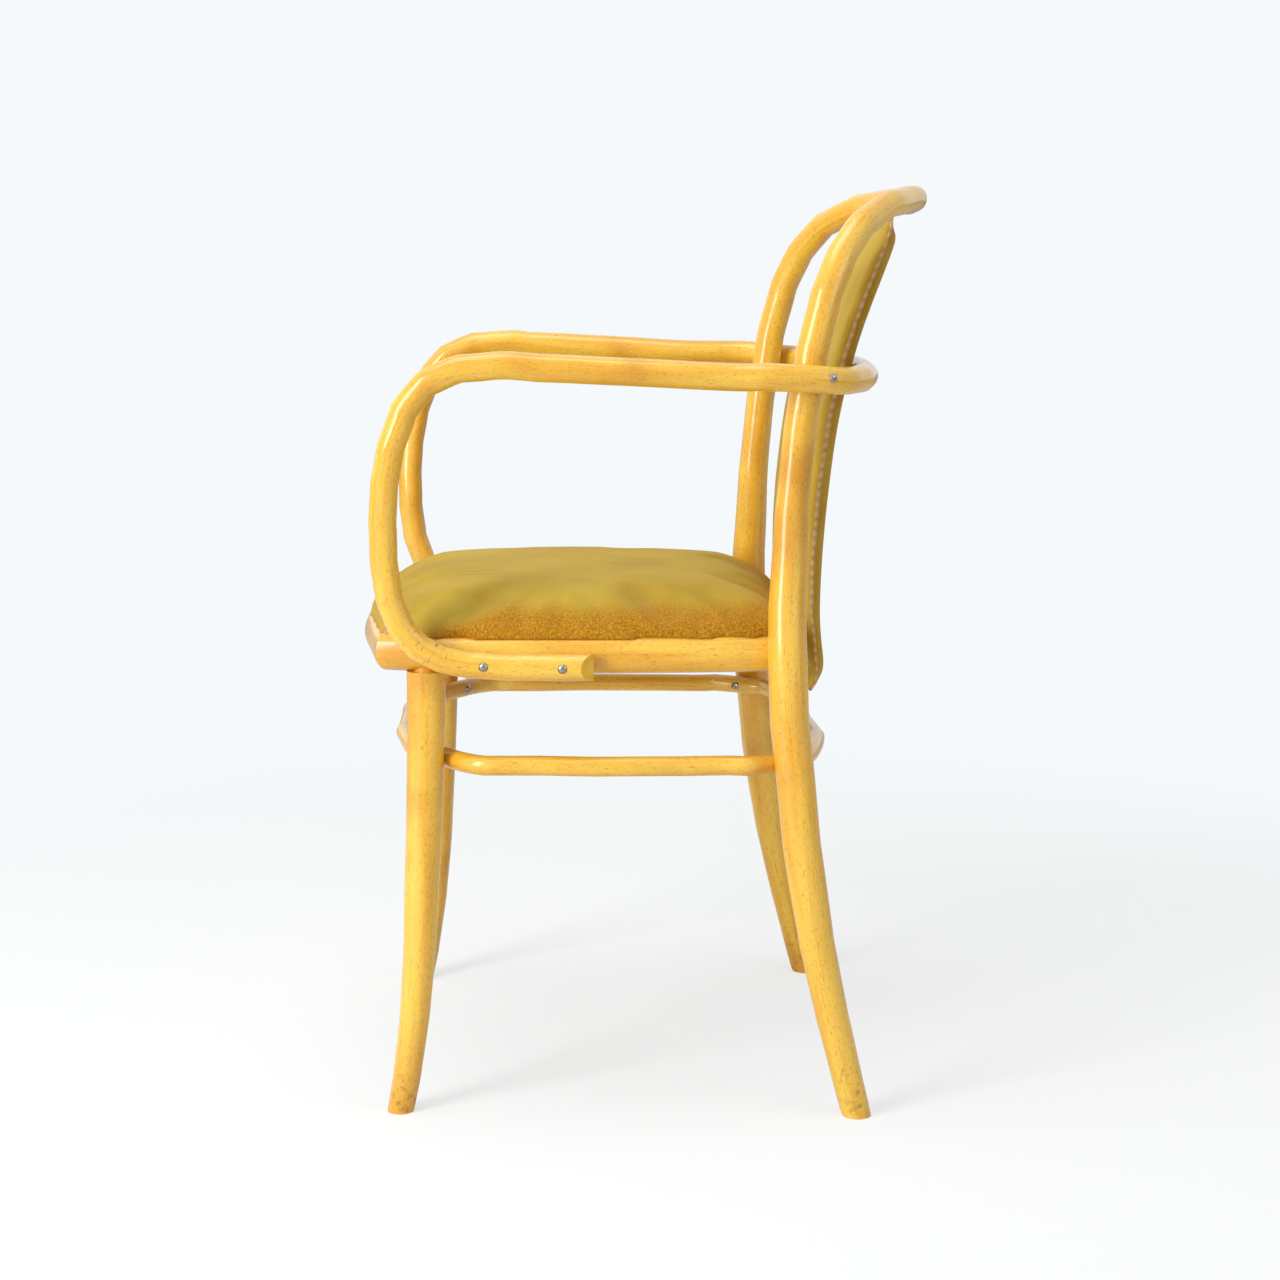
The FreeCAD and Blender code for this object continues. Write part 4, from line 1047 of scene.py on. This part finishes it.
@dataclass
class Studio:
    """Pale floor, white surroundings, soft lamps and the camera."""

    camera_at: Point = (2381.86, -97.05, 780.72)
    camera_forward: Point = (-0.98645868, 0.03991108, -0.15907978)
    camera_right: Point = (0.03927249, 0.9992029, 0.00715729)
    camera_up: Point = (-0.159238636, -0.000812908, 0.987239786)
    lens: float = 70.61
    sensor: float = 36.0
    clip: tuple[float, float] = (0.05, 100.0)
    sky: str = "#F5F9FB"
    ambient: float = 0.43
    aim: Point = (0.0, -20.0, 400.0)
    lamps: tuple[tuple[str, Point, float, float, float], ...] = (
        ("key_softbox", (1900.0, -2150.0, 1500.0), 1.0, 2.2, 76.0),
        ("top_softbox", (300.0, -500.0, 3000.0), 1.6, 1.6, 26.0),
        ("rear_softbox", (1500.0, 2300.0, 1500.0), 1.4, 1.4, 9.0),
    )
    floor_reach: float = 30.0

    def build(self) -> None:
        """Builds the floor, the world, the lamps and the camera."""
        self.build_floor()
        self.build_world()
        for lamp in self.lamps:
            self.build_lamp(*lamp)
        self.build_camera()

    def build_floor(self) -> None:
        """A level square under the chair."""
        r = self.floor_reach
        mesh = bpy.data.meshes.new("studio_floor")
        mesh.from_pydata([(-r, -r, 0), (r, -r, 0), (r, r, 0), (-r, r, 0)], [], [(0, 1, 2, 3)])
        floor = put_in_scene("studio_floor", mesh)
        StudioFloor().dress(floor)

    def build_world(self) -> None:
        """White where the camera or a reflection looks, and a plain level elsewhere."""
        world = bpy.data.worlds.new("studio_white")
        bpy.context.scene.world = world
        world.use_nodes = True
        tree = world.node_tree
        tree.nodes.clear()
        rays = add(tree, "ShaderNodeLightPath").outputs
        seen = add(tree, "ShaderNodeMath", links={0: rays["Is Camera Ray"], 1: rays["Is Glossy Ray"]},
                   operation="MAXIMUM").outputs[0]
        seen = add(tree, "ShaderNodeMath", links={0: seen, 1: rays["Is Transmission Ray"]},
                   operation="MAXIMUM").outputs[0]
        shown = add(tree, "ShaderNodeBackground", {"Color": linear(self.sky), "Strength": 1.0})
        light = add(tree, "ShaderNodeBackground", {"Color": (1.0, 1.0, 1.0, 1.0), "Strength": self.ambient})
        mixed = add(tree, "ShaderNodeMixShader", links={0: seen, 1: light.outputs[0], 2: shown.outputs[0]})
        add(tree, "ShaderNodeOutputWorld", links={"Surface": mixed.outputs[0]})

    def build_lamp(self, name: str, at: Point, width: float, height: float, watts: float) -> None:
        """A softbox that faces the chair.

        Args:
            name: the lamp's name.
            at: its place in millimetres.
            width: its width in metres.
            height: its height in metres.
            watts: its power.
        """
        data = bpy.data.lights.new(name, "AREA")
        data.shape = "RECTANGLE"
        data.size, data.size_y, data.energy = width, height, watts
        lamp = bpy.data.objects.new(name, data)
        bpy.context.scene.collection.objects.link(lamp)
        way = (Vector(self.aim) - Vector(at)).normalized()
        facing = way.to_track_quat("-Z", "Y").to_matrix().to_4x4()
        lamp.matrix_world = Matrix.Translation(Vector(at) * MM) @ facing

    def build_camera(self) -> None:
        """The camera at the photograph's place, worked out from the chair's own lines."""
        data = bpy.data.cameras.new("camera")
        data.lens, data.sensor_width = self.lens, self.sensor
        data.clip_start, data.clip_end = self.clip
        camera = bpy.data.objects.new("camera", data)
        bpy.context.scene.collection.objects.link(camera)
        turn = Matrix((self.camera_right, self.camera_up, -Vector(self.camera_forward))).transposed()
        camera.matrix_world = Matrix.Translation(Vector(self.camera_at) * MM) @ turn.to_4x4()
        bpy.context.scene.camera = camera


def main() -> None:
    """Builds the chair's looks and the studio."""
    logging.basicConfig(level=logging.INFO, format="%(name)s: %(message)s")
    scene = bpy.context.scene
    scene.view_settings.view_transform = "Standard"
    for part in (WoodFrame(), Hardware()):
        for piece in part.build():
            log.info("%s: %d faces", piece.name, len(piece.data.polygons))
    for part in (SeatCushion(), SeatLining(), BackPanel()):
        piece = part.build()
        log.info("%s: %d faces", piece.name, len(piece.data.polygons))
    Studio().build()
    bpy.context.view_layer.update()


if __name__ == "__main__":
    main()
